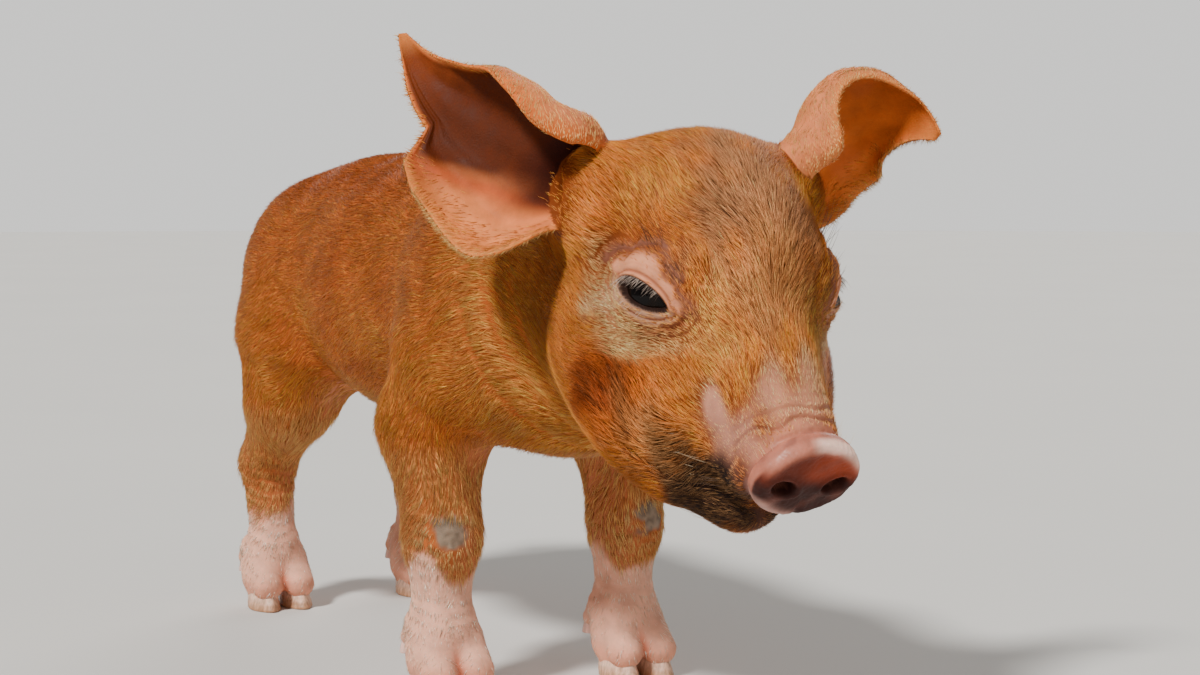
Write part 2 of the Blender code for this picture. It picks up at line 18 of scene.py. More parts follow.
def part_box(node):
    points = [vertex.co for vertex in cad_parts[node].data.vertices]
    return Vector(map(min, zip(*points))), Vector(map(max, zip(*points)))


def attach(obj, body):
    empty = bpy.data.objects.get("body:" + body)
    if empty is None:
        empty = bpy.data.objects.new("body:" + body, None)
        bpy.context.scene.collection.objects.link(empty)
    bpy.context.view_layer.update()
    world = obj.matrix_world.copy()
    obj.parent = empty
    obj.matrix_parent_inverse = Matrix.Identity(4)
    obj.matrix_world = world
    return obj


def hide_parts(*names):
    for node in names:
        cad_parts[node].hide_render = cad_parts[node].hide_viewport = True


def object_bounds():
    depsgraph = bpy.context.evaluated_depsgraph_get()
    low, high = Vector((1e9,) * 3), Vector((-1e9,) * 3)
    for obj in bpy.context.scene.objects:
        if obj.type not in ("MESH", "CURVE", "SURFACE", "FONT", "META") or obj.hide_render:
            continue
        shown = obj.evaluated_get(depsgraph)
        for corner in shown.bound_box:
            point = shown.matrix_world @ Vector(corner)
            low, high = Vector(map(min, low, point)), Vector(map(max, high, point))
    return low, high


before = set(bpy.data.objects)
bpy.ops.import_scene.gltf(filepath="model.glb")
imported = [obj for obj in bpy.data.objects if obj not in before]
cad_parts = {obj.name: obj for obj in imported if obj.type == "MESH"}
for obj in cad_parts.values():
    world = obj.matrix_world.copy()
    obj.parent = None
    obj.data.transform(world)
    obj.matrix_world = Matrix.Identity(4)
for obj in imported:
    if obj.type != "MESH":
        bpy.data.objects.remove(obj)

bl_info = {
    "name": "Young Red Pig",
    "version": (1, 0, 0),
    "blender": (4, 5, 0),
    "location": "View3D > Sidebar > Pig",
    "description": "Dresses the solids of a young red pig with skin, short hair, eyes and claws",
    "category": "Object",
}

CAD_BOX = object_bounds()
MM = 0.001
SIDES = (("left", 1.0), ("right", -1.0))

# Head frame: origin midway between the eyes, u to the snout, v to the left, w up out of the forehead
HEAD_PITCH = 52.5
SNOUT_LIFT = 15.0
HEAD_ORIGIN = np.array([0.0, 0.0, 158.0])


def pitched_axes(pitch):
    """Rows are the forward, left and up directions of something that looks down by pitch degrees."""
    lean = math.radians(pitch)
    forward = (math.cos(lean), 0.0, -math.sin(lean))
    up = (math.sin(lean), 0.0, math.cos(lean))
    return np.array([forward, (0.0, 1.0, 0.0), up])


WORLD = np.eye(3)
HEAD = pitched_axes(HEAD_PITCH)
SNOUT = pitched_axes(HEAD_PITCH - SNOUT_LIFT)


def from_head(u, v, w):
    """Place of a point given in the head frame."""
    return HEAD_ORIGIN + np.array([u, v, w]) @ HEAD


# Sizes shared with the solids
SNOUT_CENTRE = from_head(68.0, 0.0, 0.0)
SNOUT_WIDE, SNOUT_HIGH, SNOUT_THICK, SNOUT_ROUND = 18.5, 15.0, 4.5, 3.0
NOSTRIL_APART, NOSTRIL_WIDE, NOSTRIL_TALL = 9.5, 4.6, 3.0
EYE_RADIUS, LID_THICK = 11.5, 2.0
EYE_PLACE = (-1.9, 27.3, -1.0)
EYE_GAZE = (0.25, 0.88, 0.40)
EYE_LENGTHWISE = (0.84, -0.40, 0.36)
EYE_LONG, EYE_ABOVE, EYE_BELOW = 10.8, 4.6, 3.4
MOUTH_BACK = 27.0
FORE_X, FORE_Y = -146.0, 40.0
HIND_X, HIND_Y = -346.0, 37.0
FEET = ((FORE_X, FORE_Y), (HIND_X, HIND_Y))
DEW_SPREAD = 8.5
TOE_SPREAD = 7.7
TAIL_THICK, TAIL_TIP = 4.6, 1.5


def box_centre(node):
    low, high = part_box(node)
    return np.array((low + high) / 2) / MM


EYES_MIDDLE = (box_centre("eye_left") + box_centre("eye_right")) / 2
SHIFT = EYES_MIDDLE - from_head(EYE_PLACE[0], 0.0, EYE_PLACE[2])

# Masses of flesh: how far each blends, whether it has a twin on the other side, its kind and its sizes
CENTRED, TWIN = False, True
FLESH = (
    # trunk
    (0, CENTRED, "ball", (-146, 0, 152), (71, 51, 50), WORLD),
    (26, CENTRED, "ball", (-226, 0, 152), (88, 57, 58), WORLD),
    (26, CENTRED, "ball", (-300, 0, 158), (67, 49, 49), WORLD),
    (18, TWIN, "ball", (-128, 33, 145), (38, 23, 46), WORLD),
    (18, TWIN, "ball", (-318, 29, 145), (46, 27, 46), WORLD),
    # neck and throat
    (22, CENTRED, "limb", (-112, 0, 156), (-45, 0, 165), 50, 42),
    (18, CENTRED, "limb", (-108, 0, 138), (-50, 0, 140), 44, 34),
    # skull, brow, cheeks and jaw
    (14, CENTRED, "ball", from_head(-22, 0, -4), (39, 37, 36), HEAD),
    (10, TWIN, "ball", from_head(-4, 20, 2), (17, 15.5, 15), HEAD),
    (16, TWIN, "ball", from_head(3, 25, -34), (38, 24, 26), HEAD),
    (14, CENTRED, "limb", from_head(0, 0, -6), from_head(58, 0, -3), 27, 16),
    (12, CENTRED, "limb", from_head(10, 0, -40), from_head(52.5, 0, -34.5), 25, 15),
    (12, TWIN, "ball", from_head(29, 17, -36), (26, 19, 19), HEAD),
    (9, TWIN, "limb", from_head(12, 17, -18), from_head(54, 9, -11), 17, 11),
    (12, TWIN, "limb", from_head(-40, 0, 4), from_head(-42, 30, 0), 18, 17),
    (10, TWIN, "ball", from_head(-44, 36, -8), (17, 13, 18), HEAD),
    (5, TWIN, "ball", from_head(*EYE_PLACE), (EYE_RADIUS + LID_THICK,) * 3, HEAD),
    # forelegs
    (14, TWIN, "limb", (FORE_X + 12, FORE_Y, 128), (FORE_X - 7, FORE_Y, 104), 23, 20),
    (12, TWIN, "limb", (FORE_X - 7, FORE_Y, 104), (FORE_X, FORE_Y, 60), 20, 14.5),
    (8, TWIN, "limb", (FORE_X, FORE_Y, 60), (FORE_X - 2, FORE_Y, 32), 14.5, 12),
    (8, TWIN, "ball", (FORE_X, FORE_Y, 24), (13.5, 13.5, 12), WORLD),
    # hind legs
    (16, TWIN, "limb", (HIND_X + 34, HIND_Y - 2, 124), (HIND_X + 28, HIND_Y, 100), 28, 20),
    (12, TWIN, "limb", (HIND_X + 28, HIND_Y, 100), (HIND_X - 5, HIND_Y, 66), 19, 12.5),
    (7, TWIN, "limb", (HIND_X - 5, HIND_Y, 66), (HIND_X, HIND_Y, 32), 12.5, 11),
    (8, TWIN, "ball", (HIND_X + 1, HIND_Y, 24), (12.5, 13, 12), WORLD),
)

# Ears: places along the deepest line of each cup, the way it opens, and its width and turn to each side
EAR_SPINES = {
    "right": ((-34, -30, 184), (-35, -38, 185), (-37, -45, 187), (-42, -53, 191), (-50, -60, 198),
              (-61, -68, 206), (-71, -74, 217), (-80, -78, 231), (-87, -81, 246)),
    "left": ((-35, 32, 179), (-34, 39, 185), (-35, 46, 194), (-36, 53, 204), (-34, 60, 214),
             (-30, 70, 221), (-20, 80, 221), (-8, 88, 211)),
}
EAR_OPENS = {
    "right": ((0.67, -0.36, 0.65), (0.92, -0.38, -0.03), (0.92, -0.38, -0.03)),
    "left": ((0.67, 0.36, 0.65), (0.82, 0.30, -0.30), (0.63, -0.68, -0.34)),
}
EAR_OPEN_MIDDLE = 0.42
EAR_SECTIONS = {
    "right": (
        (0.00, 36, 220, 6, 60), (0.14, 44, 213, 8, 60), (0.27, 52, 203, 11, 60), (0.335, 53, 197, 24, 60),
        (0.40, 53, 187, 34, 60), (0.46, 53, 176, 33, 55), (0.52, 52, 167, 29, 50), (0.64, 45, 150, 25, 40),
        (0.70, 38, 140, 20, 35), (0.76, 29, 128, 18, 30), (0.88, 13, 100, 9, 30), (1.00, 1.5, 40, 1.5, 15),
    ),
    "left": (
        (0.00, 40, 240, 8, 60), (0.14, 46, 225, 14, 60), (0.29, 50, 200, 22, 60), (0.43, 47, 170, 27, 50),
        (0.57, 41, 145, 27, 45), (0.71, 33, 128, 25, 40), (0.86, 13, 105, 19, 30), (1.00, 1.5, 40, 1.5, 15),
    ),
}
# How late the front and the back part of an ear curl: 1 is an even curl
EAR_FRONT_CURL, EAR_BACK_CURL = 2.0, 1.2
# Notch worn in the back edge of the right ear: where along it, how deep, and how soon it opens and heals
EAR_NOTCH, EAR_NOTCH_DEEP, EAR_NOTCH_REACH, EAR_NOTCH_HEAL = 0.74, 12.0, 0.04, 0.28
# Rows and columns of an ear's sheet, and the steps in which its curl is summed
EAR_ROWS, EAR_COLUMNS, EAR_STEPS = 110, 72, 24


# Small helpers for shapes and masks
def step(value, start, end):
    """Smooth step from 0 at start to 1 at end, which may lie below start."""
    share = np.clip((value - start) / (end - start), 0.0, 1.0)
    return share * share * (3.0 - 2.0 * share)


def hump(value, middle, width):
    return np.exp(-np.square((value - middle) / width))


def ripple(points, size, seed, waves=7):
    """Smooth unevenness between about -1 and 1, with features about size millimetres across."""
    rng = np.random.default_rng(seed)
    ways = rng.normal(size=(waves, 3))
    lengths = rng.uniform(0.6, 1.6, waves) / np.linalg.norm(ways, axis=1)
    ways *= lengths[:, None] * 2 * math.pi / (2.2 * size)
    phases = rng.uniform(0, 2 * math.pi, waves)
    return np.sin(points @ ways.T + phases).sum(axis=1) / math.sqrt(waves)


def away_from(points, place, radii=1.0):
    """Distance of each point from a place, in millimetres, or in shares of the radii where they are given."""
    return np.linalg.norm((points - np.asarray(place)) / radii, axis=1)


def rolls(place, table):
    """Height of ridges and grooves that are each given by a height, a middle and a half width."""
    return sum(height * hump(place, middle, width) for height, middle, width in table)


def in_head(points, fold=True):
    """Points in the head frame, with the right side folded onto the left."""
    local = (points - HEAD_ORIGIN) @ HEAD.T
    if fold:
        local[:, 1] = np.abs(local[:, 1])
    return local


def unit(vectors):
    return vectors / np.maximum(np.linalg.norm(vectors, axis=1), 1e-9)[:, None]


# The flesh as a distance
def ball(points, centre, radii, axes):
    local = (points - centre) @ axes.T
    scaled = np.linalg.norm(local / radii, axis=1)
    steep = np.linalg.norm(local / np.square(radii), axis=1)
    return scaled * (scaled - 1.0) / np.maximum(steep, 1e-9)


def limb(points, start, end, start_radius, end_radius):
    along = np.subtract(end, start)
    share = np.clip((points - start) @ along / (along @ along), 0.0, 1.0)
    spine = start + share[:, None] * along
    return np.linalg.norm(points - spine, axis=1) - (start_radius + share * (end_radius - start_radius))


def snout_disc(points):
    """Distance to the oval disc that ends the snout, with a rounded rim."""
    ahead, side, up = ((points - SNOUT_CENTRE) @ SNOUT.T).T
    reach = np.hypot(side, up)
    oval = np.hypot(side / SNOUT_WIDE, up / SNOUT_HIGH)
    radial = reach * (1.0 - 1.0 / np.maximum(oval, 1e-6)) + SNOUT_ROUND
    axial = np.abs(ahead) - SNOUT_THICK + SNOUT_ROUND
    outside = np.hypot(np.maximum(radial, 0.0), np.maximum(axial, 0.0))
    return outside + np.minimum(np.maximum(radial, axial), 0.0) - SNOUT_ROUND


def blend(first, second, reach):
    if reach <= 0:
        return np.minimum(first, second)
    share = np.clip(0.5 + 0.5 * (second - first) / reach, 0.0, 1.0)
    return second + (first - second) * share - reach * share * (1.0 - share)


def toes():
    """The flesh of the two main toes and the two dewclaws of each foot."""
    masses = []
    for foot_x, foot_y in FEET:
        for away in (-1.0, 1.0):
            toe_y, dew_y = foot_y + away * TOE_SPREAD, foot_y + away * DEW_SPREAD
            masses += [
                (5, TWIN, "limb", (foot_x + 2, toe_y, 19), (foot_x + 14, toe_y, 11), 8.5, 7.0),
                (4, TWIN, "limb", (foot_x + 2, toe_y, 12), (foot_x + 5, toe_y, 8), 7.5, 6.5),
                (3, TWIN, "limb", (foot_x - 6, dew_y, 27), (foot_x - 12, dew_y, 21), 5.5, 4.6),
            ]
    return masses


MASSES = list(FLESH) + toes()


def mass_extent(kind, sizes):
    """Middle and radius of the ball round one mass."""
    if kind == "ball":
        return np.array(sizes[0], dtype=float), float(max(sizes[1]))
    start, end = np.array(sizes[0], dtype=float), np.array(sizes[1], dtype=float)
    return (start + end) / 2, float(np.linalg.norm(end - start)) / 2 + max(sizes[2:4])


# How far beyond a mass and its blend, in millimetres, the mass still counts
NEAR = 14.0
DISC_BLEND = 4.0


def flesh(points):
    """Distance to the skin for points that lie near it, below zero inside."""
    folded = points.copy()
    folded[:, 1] = np.abs(folded[:, 1])
    distance = np.full(len(points), 1e3)
    for reach, _, kind, *sizes in MASSES:
        middle, radius = mass_extent(kind, sizes)
        close = away_from(folded, middle) < radius + reach + NEAR
        if close.any():
            shape = (ball if kind == "ball" else limb)(folded[close], *sizes)
            distance[close] = blend(distance[close], shape, reach)
    close = away_from(folded, SNOUT_CENTRE) < SNOUT_WIDE + NEAR
    distance[close] = blend(distance[close], snout_disc(folded[close]), DISC_BLEND)
    return distance


# Corners of a tetrahedron round a point
CORNERS = np.array([(1, 1, 1), (1, -1, -1), (-1, 1, -1), (-1, -1, 1)], dtype=float)


def slope(points, reach=0.25):
    """Gradient of the distance, from four places round each point."""
    total = np.zeros_like(points)
    for corner in CORNERS:
        total += flesh(points + corner * reach)[:, None] * corner
    return total / (4 * reach)


# Depth of the skin inside the solids: where it is bare, under the coat, and how much less on the head
BARE_DEPTH, COAT_DEPTH, HEAD_LESS = 0.12, 1.0, 0.35


def coat_depth(points):
    """How far the skin lies inside the solids: the coat's depth, and almost none where the skin is bare."""
    deep = COAT_DEPTH - HEAD_LESS * step(points[:, 0], -90, -50) - BARE_DEPTH
    disc, eye = away_from(points, SNOUT_CENTRE), away_from(in_head(points), EYE_PLACE)
    return BARE_DEPTH + deep * step(disc, 20, 34) * step(eye, 15, 24) * step(points[:, 2], 8, 30)


def onto_skin(points):
    """Points moved onto the skin, in two steps along its slope."""
    for _ in range(2):
        normal = slope(points)
        length = np.maximum(np.sum(normal * normal, axis=1), 0.05)
        points = points - ((flesh(points) + coat_depth(points)) / length)[:, None] * normal
    return points


# Blender meshes
def link(name, mesh):
    made = bpy.data.objects.new(name, mesh)
    bpy.context.scene.collection.objects.link(made)
    return made


def from_bmesh(name, shape):
    bmesh.ops.recalc_face_normals(shape, faces=shape.faces)
    mesh = bpy.data.meshes.new(name)
    shape.to_mesh(mesh)
    shape.free()
    return link(name, mesh)


def sphere_mesh(name, centre, radii, axes=WORLD, around=16, rings=10):
    shape = bmesh.new()
    bmesh.ops.create_uvsphere(shape, u_segments=around, v_segments=rings, radius=1.0)
    place = Matrix.Translation(Vector(centre) * MM) @ Matrix(axes.T).to_4x4()
    size = Matrix.Diagonal((*np.multiply(radii, MM), 1.0))
    bmesh.ops.transform(shape, matrix=place @ size, verts=shape.verts)
    return from_bmesh(name, shape)


def limb_mesh(name, start, end, start_radius, end_radius):
    """A cone with a ball on each end."""
    start, end = Vector(start) * MM, Vector(end) * MM
    shape = bmesh.new()
    turn = (end - start).to_track_quat("Z", "Y").to_matrix().to_4x4()
    bmesh.ops.create_cone(
        shape, cap_ends=True, segments=20, radius1=start_radius * MM, radius2=end_radius * MM,
        depth=(end - start).length, matrix=Matrix.Translation((start + end) / 2) @ turn,
    )
    for place, radius in ((start, start_radius), (end, end_radius)):
        bmesh.ops.create_uvsphere(
            shape, u_segments=20, v_segments=12, radius=radius * MM, matrix=Matrix.Translation(place)
        )
    return from_bmesh(name, shape)


def evaluated(made):
    """An object's mesh with its modifiers applied, or a curve's shape as a mesh."""
    bpy.context.view_layer.update()
    return bpy.data.meshes.new_from_object(made.evaluated_get(bpy.context.evaluated_depsgraph_get()))


def modified(made, kind, **settings):
    """Adds a modifier and applies it."""
    modifier = made.modifiers.new(kind.title(), kind)
    for name, value in settings.items():
        setattr(modifier, name, value)
    old, made.data = made.data, evaluated(made)
    made.modifiers.clear()
    bpy.data.meshes.remove(old)


def joined(name, pieces):
    shape = bmesh.new()
    for piece in pieces:
        shape.from_mesh(piece.data)
        bpy.data.objects.remove(piece)
    return from_bmesh(name, shape)


def read_rows(items, name, width, kind=np.float32):
    """A property of each vertex, edge or triangle, one row each."""
    found = np.empty(len(items) * width, dtype=kind)
    items.foreach_get(name, found)
    return found.reshape(-1, width)


def coordinates(mesh):
    return read_rows(mesh.vertices, "co", 3).astype(float) / MM


def set_coordinates(mesh, points):
    mesh.vertices.foreach_set("co", (points * MM).astype(np.float32).ravel())
    mesh.update()


def edge_ends(mesh):
    return read_rows(mesh.edges, "vertices", 2, np.int32).T


def evened(mesh, points, share=0.5):
    """Each point moved towards the mean of its neighbours. The share may differ from point to point."""
    first, second = edge_ends(mesh)
    total = np.zeros_like(points)
    for axis in range(3):
        total[:, axis] = np.bincount(first, points[second, axis], len(points))
        total[:, axis] += np.bincount(second, points[first, axis], len(points))
    count = np.bincount(first, minlength=len(points)) + np.bincount(second, minlength=len(points))
    mean = total / np.maximum(count, 1)[:, None]
    return points + np.reshape(share, (-1, 1)) * (mean - points)


def normals_of(mesh):
    return read_rows(mesh.vertex_normals, "vector", 3).astype(float)


def mesh_from_arrays(name, points, triangles, colours=None, spots=None):
    """A mesh object from points in the row frame, in metres, with colours and the coat's map on them."""
    mesh = bpy.data.meshes.new(name)
    count = len(triangles)
    mesh.vertices.add(len(points))
    mesh.vertices.foreach_set("co", points.astype(np.float32).ravel())
    mesh.loops.add(count * 3)
    mesh.loops.foreach_set("vertex_index", triangles.astype(np.int32).ravel())
    mesh.polygons.add(count)
    mesh.polygons.foreach_set("loop_start", np.arange(0, count * 3, 3, dtype=np.int32))
    mesh.polygons.foreach_set("loop_total", np.full(count, 3, dtype=np.int32))
    mesh.update(calc_edges=True)
    if colours is not None:
        colour_mesh(mesh, colours)
    if spots is not None:
        layer = mesh.uv_layers.new(name="OFBake")
        layer.uv.foreach_set("vector", spots[triangles.ravel()].astype(np.float32).ravel())
    return link(name, mesh)


def colour_mesh(mesh, colours, wet=1.0):
    tint = mesh.attributes.new("tint", "FLOAT_COLOR", "POINT")
    full = np.ones((len(colours), 4), dtype=np.float32)
    full[:, :3] = np.clip(colours, 0.0, 1.0)
    full[:, 3] = wet
    tint.data.foreach_set("color", full.ravel())


def smooth_shaded(made):
    made.data.polygons.foreach_set("use_smooth", np.ones(len(made.data.polygons), dtype=bool))


# Skin: plain body
# Grids that first join the masses, the coarse one first, and the number of times the finest places are split
VOXELS, SPLITS = (3.0, 1.9), 3


def body_mesh():
    """The whole flesh as one closed mesh on the skin, finest round the eyes and on the snout."""
    pieces = []
    for number, (_, twin, kind, *sizes) in enumerate(MASSES):
        make = sphere_mesh if kind == "ball" else limb_mesh
        pieces.append(make(f"mass_{number}", *sizes))
        if twin:
            mirrored = link(f"mass_{number}_twin", pieces[-1].data.copy())
            mirrored.data.transform(Matrix.Diagonal((1, -1, 1, 1)))
            mirrored.data.flip_normals()
            pieces.append(mirrored)
    pieces.append(sphere_mesh("mass_disc", SNOUT_CENTRE, (SNOUT_THICK, SNOUT_WIDE, SNOUT_HIGH), SNOUT))
    body = joined("skin", pieces)
    for voxel in VOXELS:
        modified(body, "REMESH", mode="VOXEL", voxel_size=voxel * MM, adaptivity=0.0)
        points = coordinates(body.data)
        for _ in range(3):
            points = onto_skin(evened(body.data, points))
        set_coordinates(body.data, points)
    modified(body, "TRIANGULATE")
    for _ in range(SPLITS):
        refine(body)
        set_coordinates(body.data, onto_skin(evened(body.data, coordinates(body.data), 0.4)))
    return body


# The longest edge on the trunk, and by what factor an edge may exceed what is wanted
TRUNK_EDGE, EDGE_SLACK = 3.2, 1.25


def fineness(points):
    """The longest edge wanted at each place: on the head, muzzle, feet, disc, and in two rings at the eye."""
    forward, _, height = points.T
    head = in_head(points)
    disc, eye = away_from(points, SNOUT_CENTRE), away_from(head, EYE_PLACE)
    wanted = np.full(len(points), TRUNK_EDGE)
    for where, longest in (
        (forward > -60, 1.45), (head[:, 0] > 38, 0.95), ((height < 30) & (forward < -60), 1.6),
        (disc < 27, 0.62), (eye < 29, 0.85), (eye < 21, 0.52),
    ):
        wanted[where] = longest
    return wanted


def refine(made):
    """Splits every edge that is longer than the fineness wanted at its middle."""
    points = coordinates(made.data)
    first, second = edge_ends(made.data)
    length = np.linalg.norm(points[first] - points[second], axis=1)
    long = np.flatnonzero(length > EDGE_SLACK * fineness((points[first] + points[second]) / 2))
    shape = bmesh.new()
    shape.from_mesh(made.data)
    shape.edges.ensure_lookup_table()
    bmesh.ops.subdivide_edges(shape, edges=[shape.edges[i] for i in long], cuts=1)
    bmesh.ops.triangulate(shape, faces=[face for face in shape.faces if len(face.verts) > 3])
    shape.to_mesh(made.data)
    shape.free()


# Skin: lids, snout, mouth and folds
def eye_axes(sign):
    """Rows: the way an eye looks, along its opening to the inner corner, and up across it."""
    mirror = np.array([1.0, sign, 1.0])
    gaze = (EYE_GAZE * mirror) @ HEAD
    gaze /= np.linalg.norm(gaze)
    length = (EYE_LENGTHWISE * mirror) @ HEAD
    length -= (length @ gaze) * gaze
    length /= np.linalg.norm(length)
    return np.array([gaze, length, np.cross(gaze, length) * -sign])


def eye_centre(sign):
    return from_head(*(np.array(EYE_PLACE) * (1.0, sign, 1.0)))


def lid_space(points, sign):
    """Depth, place along and across the opening, and distance outwards from its edge."""
    depth, along, across = ((points - eye_centre(sign)) @ eye_axes(sign).T).T
    share = np.clip(along / EYE_LONG, -1.0, 1.0)
    edge = np.where(across > 0, EYE_ABOVE, EYE_BELOW) * (1.0 - share * share) ** 0.65
    beyond = np.abs(along) - EYE_LONG
    outwards = np.where(beyond > 0, np.hypot(beyond, across), (np.abs(across) - edge) * 0.87)
    return depth, along, across, outwards


# Rolls and grooves, each with its height, middle and half width, in millimetres. They lie outwards from the
# opening of the eye, behind the snout's disc, across the line of the mouth, and along the throat
UPPER_LID = (
    (0.25, 0.5, 0.6), (-0.50, 1.7, 0.4), (1.0, 4.8, 2.4), (-0.5, 9.2, 1.0), (0.2, 11.2, 1.4),
    (-0.15, 13.4, 0.8),
)
LOWER_LID = (
    (0.30, 0.9, 0.9), (-0.30, 2.6, 0.5), (0.15, 3.8, 0.9), (-0.28, 5.4, 0.6), (0.1, 7.0, 1.0),
    (-0.15, 8.8, 0.6),
)
SNOUT_FOLDS = (
    (0.4, -6.8, 1.3), (-0.75, -8.8, 0.6), (0.4, -10.6, 1.2), (-0.5, -12.6, 0.6), (0.2, -14.4, 1.2),
    (-0.25, -16.2, 0.6),
)
MOUTH_ROLLS = ((-1.7, 0.0, 0.75), (0.5, 2.8, 1.7), (0.35, -2.3, 1.3))
THROAT_FOLDS = ((-0.9, -70, 2.4), (-0.72, -82, 2.0), (-0.54, -96, 2.2))


def lid_relief(points, sign):
    """Height of the lids' rolls and folds, and how far each point is pressed in behind the eyeball."""
    depth, along, across, out = lid_space(points, sign)
    near = step(depth, -2.0, 3.0)
    upper = step(across, -1.5, 2.0)
    front = step(along, 0.0, 8.0)
    wrinkles = 0.07 * np.sin(out * 5.0 + 1.5 * ripple(points, 4.0, 31))
    wrinkles *= step(out, 1.5, 3.0) * step(out, 16, 8)
    relief = upper * rolls(out, UPPER_LID) * (1.0 - 0.55 * front) + (1.0 - upper) * rolls(out, LOWER_LID)
    corner = np.hypot(across + 0.8, np.maximum(np.abs(along - 13.0) - 3.5, 0.0))
    relief = relief + wrinkles - 0.7 * hump(corner, 0.0, 0.8)
    return relief * near * step(out, 22, 15), step(out, 0.15, -0.75) * near


def disc_space(points):
    """Ahead, left and up from the middle of the snout's disc, with its share of the way to the rim."""
    ahead, side, up = ((points - SNOUT_CENTRE) @ SNOUT.T).T
    return ahead, side, up, np.hypot(side / SNOUT_WIDE, up / SNOUT_HIGH)


def nostril_edge(side, up):
    """Distance outwards from a nostril's rim. Each is a comma that runs up and out."""
    beside = np.abs(side) - NOSTRIL_APART
    lifted = up + 1.0 - 0.16 * beside
    return (np.hypot(beside / NOSTRIL_WIDE, lifted / NOSTRIL_TALL) - 1.0) * 3.6


def snout_relief(points):
    """Height of the snout's rim, lips and folds, and how deep each point sinks into a nostril."""
    ahead, side, up, share = disc_space(points)
    face = step(ahead, 1.5, 4.0) * step(share, 1.15, 0.95)
    edge = nostril_edge(side, up)
    wing = np.hypot(np.abs(side) - 12.5, up + 5.6)
    relief = face * (
        -0.9 * hump(share, 0.0, 0.5) + 0.75 * hump(share, 0.9, 0.13) * step(up, -6, 6)
        + 0.75 * hump(edge, 1.0, 0.9) + 0.75 * hump(wing, 0.0, 2.6)
        - 0.8 * hump(side, 0.0, 1.1) * step(up, -3, -9) - 0.35 * hump(side, 0.0, 2.2) * step(up, 4, 10)
    )
    around = step(share, 0.75, 0.95) * step(share, 1.5, 1.2)
    relief += around * rolls(ahead, ((0.45, 0.5, 2.2), (-0.9, -4.3, 0.9)))
    folded = step(ahead, -20, -12) * step(ahead, 0.0, -5.0)
    top = step(up, -4, 6)
    back = ahead + 0.012 * side * side + 0.9 * ripple(points * (1.0, 0.6, 1.0), 7.0, 12)
    relief += folded * (top * rolls(back, SNOUT_FOLDS) - (1.0 - top) * 0.45 * hump(back, -7.5, 0.7))
    grain = 0.06 * ripple(points, 1.3, 41) + 0.05 * ripple(points, 0.8, 42)
    return relief + grain * step(ahead, -16, -8), face * step(edge, 0.25, -1.9)


def mouth_line(ahead):
    """Height of the line of the mouth in the head frame: low along the lip, rising to the disc."""
    return -32.0 + 14.0 * np.maximum(0.0, (ahead - MOUTH_BACK) / 43.0) ** 2.2


def mouth_relief(points):
    """The line of the mouth with the lips on either side of it."""
    ahead, side, height = in_head(points).T
    off = height - mouth_line(ahead) + 0.4 * ripple(points, 9.0, 5)
    present = step(ahead, MOUTH_BACK - 1.5, MOUTH_BACK + 3.0) * step(side, 3.0, 6.0) * step(ahead, 73.0, 66.0)
    return present * rolls(off, MOUTH_ROLLS)


def fold_relief(points):
    """Soft folds of loose skin on the throat, behind the elbow and over the joints of the legs."""
    x, y, z = points.T
    lean = x + 0.22 * (z - 150.0) + 1.6 * ripple(points, 30.0, 8)
    relief = rolls(lean, THROAT_FOLDS) * step(z, 175, 140) * step(x, -118, -100) * step(x, -48, -62)
    elbow = np.hypot(x - (FORE_X - 24), (z - 112) * 0.45) - 4.0
    relief -= 0.9 * hump(elbow, 0.0, 2.0) * step(np.abs(y), 30, 42) * step(z, 90, 100)
    rings = np.sin((z + 0.35 * x) * 2 * math.pi / 5.2 + 1.2 * ripple(points, 10.0, 9))
    joints = hump(z, 58, 9) + hump(z, 33, 6)
    relief += np.where((z < 100) & (x < -100), 0.22 * rings * joints, 0.0)
    return relief + 0.25 * ripple(points, 26.0, 3)


# How deep the nostrils run, how deep and wide each ear's hollow runs into the head, and how far behind the
# eyeball's surface the skin is tucked
NOSTRIL_SINK, CANAL_DEEP, CANAL_WIDE, EYE_TUCK = 6.5, 9.0, 9.5, 0.9


def sculpted(points, normals):
    """The plain skin with lids, snout, mouth and folds worked into it."""
    relief = mouth_relief(points) + fold_relief(points) * step(points[:, 2], 12, 26)
    snout, hole = snout_relief(points)
    lids = [lid_relief(points, sign) for _, sign in SIDES]
    relief = relief + snout + lids[0][0] + lids[1][0]
    moved = points + relief[:, None] * normals
    sink = (NOSTRIL_SINK + np.minimum(disc_space(points)[0] - SNOUT_THICK, 0.0)) * hole
    moved -= sink[:, None] * (SNOUT[0] + 0.15 * SNOUT[2])
    for (_, pressed), (_, sign) in zip(lids, SIDES):
        centre = eye_centre(sign)
        reach = np.maximum(away_from(moved, centre), 1e-6)
        behind = centre + (moved - centre) * ((EYE_RADIUS - EYE_TUCK) / reach)[:, None]
        moved = moved + pressed[:, None] * (behind - moved)
    for side, _ in SIDES:
        inwards = unit(from_head(-30.0, 0.0, -14.0) - moved)
        away = away_from(moved, ear_canal(side))
        moved += (CANAL_DEEP * step(away, CANAL_WIDE, 2.0))[:, None] * inwards
    return moved


def ear_canal(side):
    """Where the hollow of an ear runs into the head."""
    spine = np.array(EAR_SPINES[side], dtype=float)
    opens = np.array(EAR_OPENS[side][0])
    return spine[2] * 0.6 + spine[3] * 0.4 + 4.0 * opens / np.linalg.norm(opens)


# Ears
def smoothed(values, reach):
    """A row of values evened over a few neighbours, with its ends kept."""
    padded = np.concatenate([np.full(reach, values[0]), values, np.full(reach, values[-1])])
    kernel = np.hanning(2 * reach + 3)[1:-1]
    even = np.convolve(padded, kernel / kernel.sum(), mode="valid")
    keep = step(np.minimum(np.arange(len(values)), np.arange(len(values))[::-1]), 0, reach)
    return values + (even - values) * keep


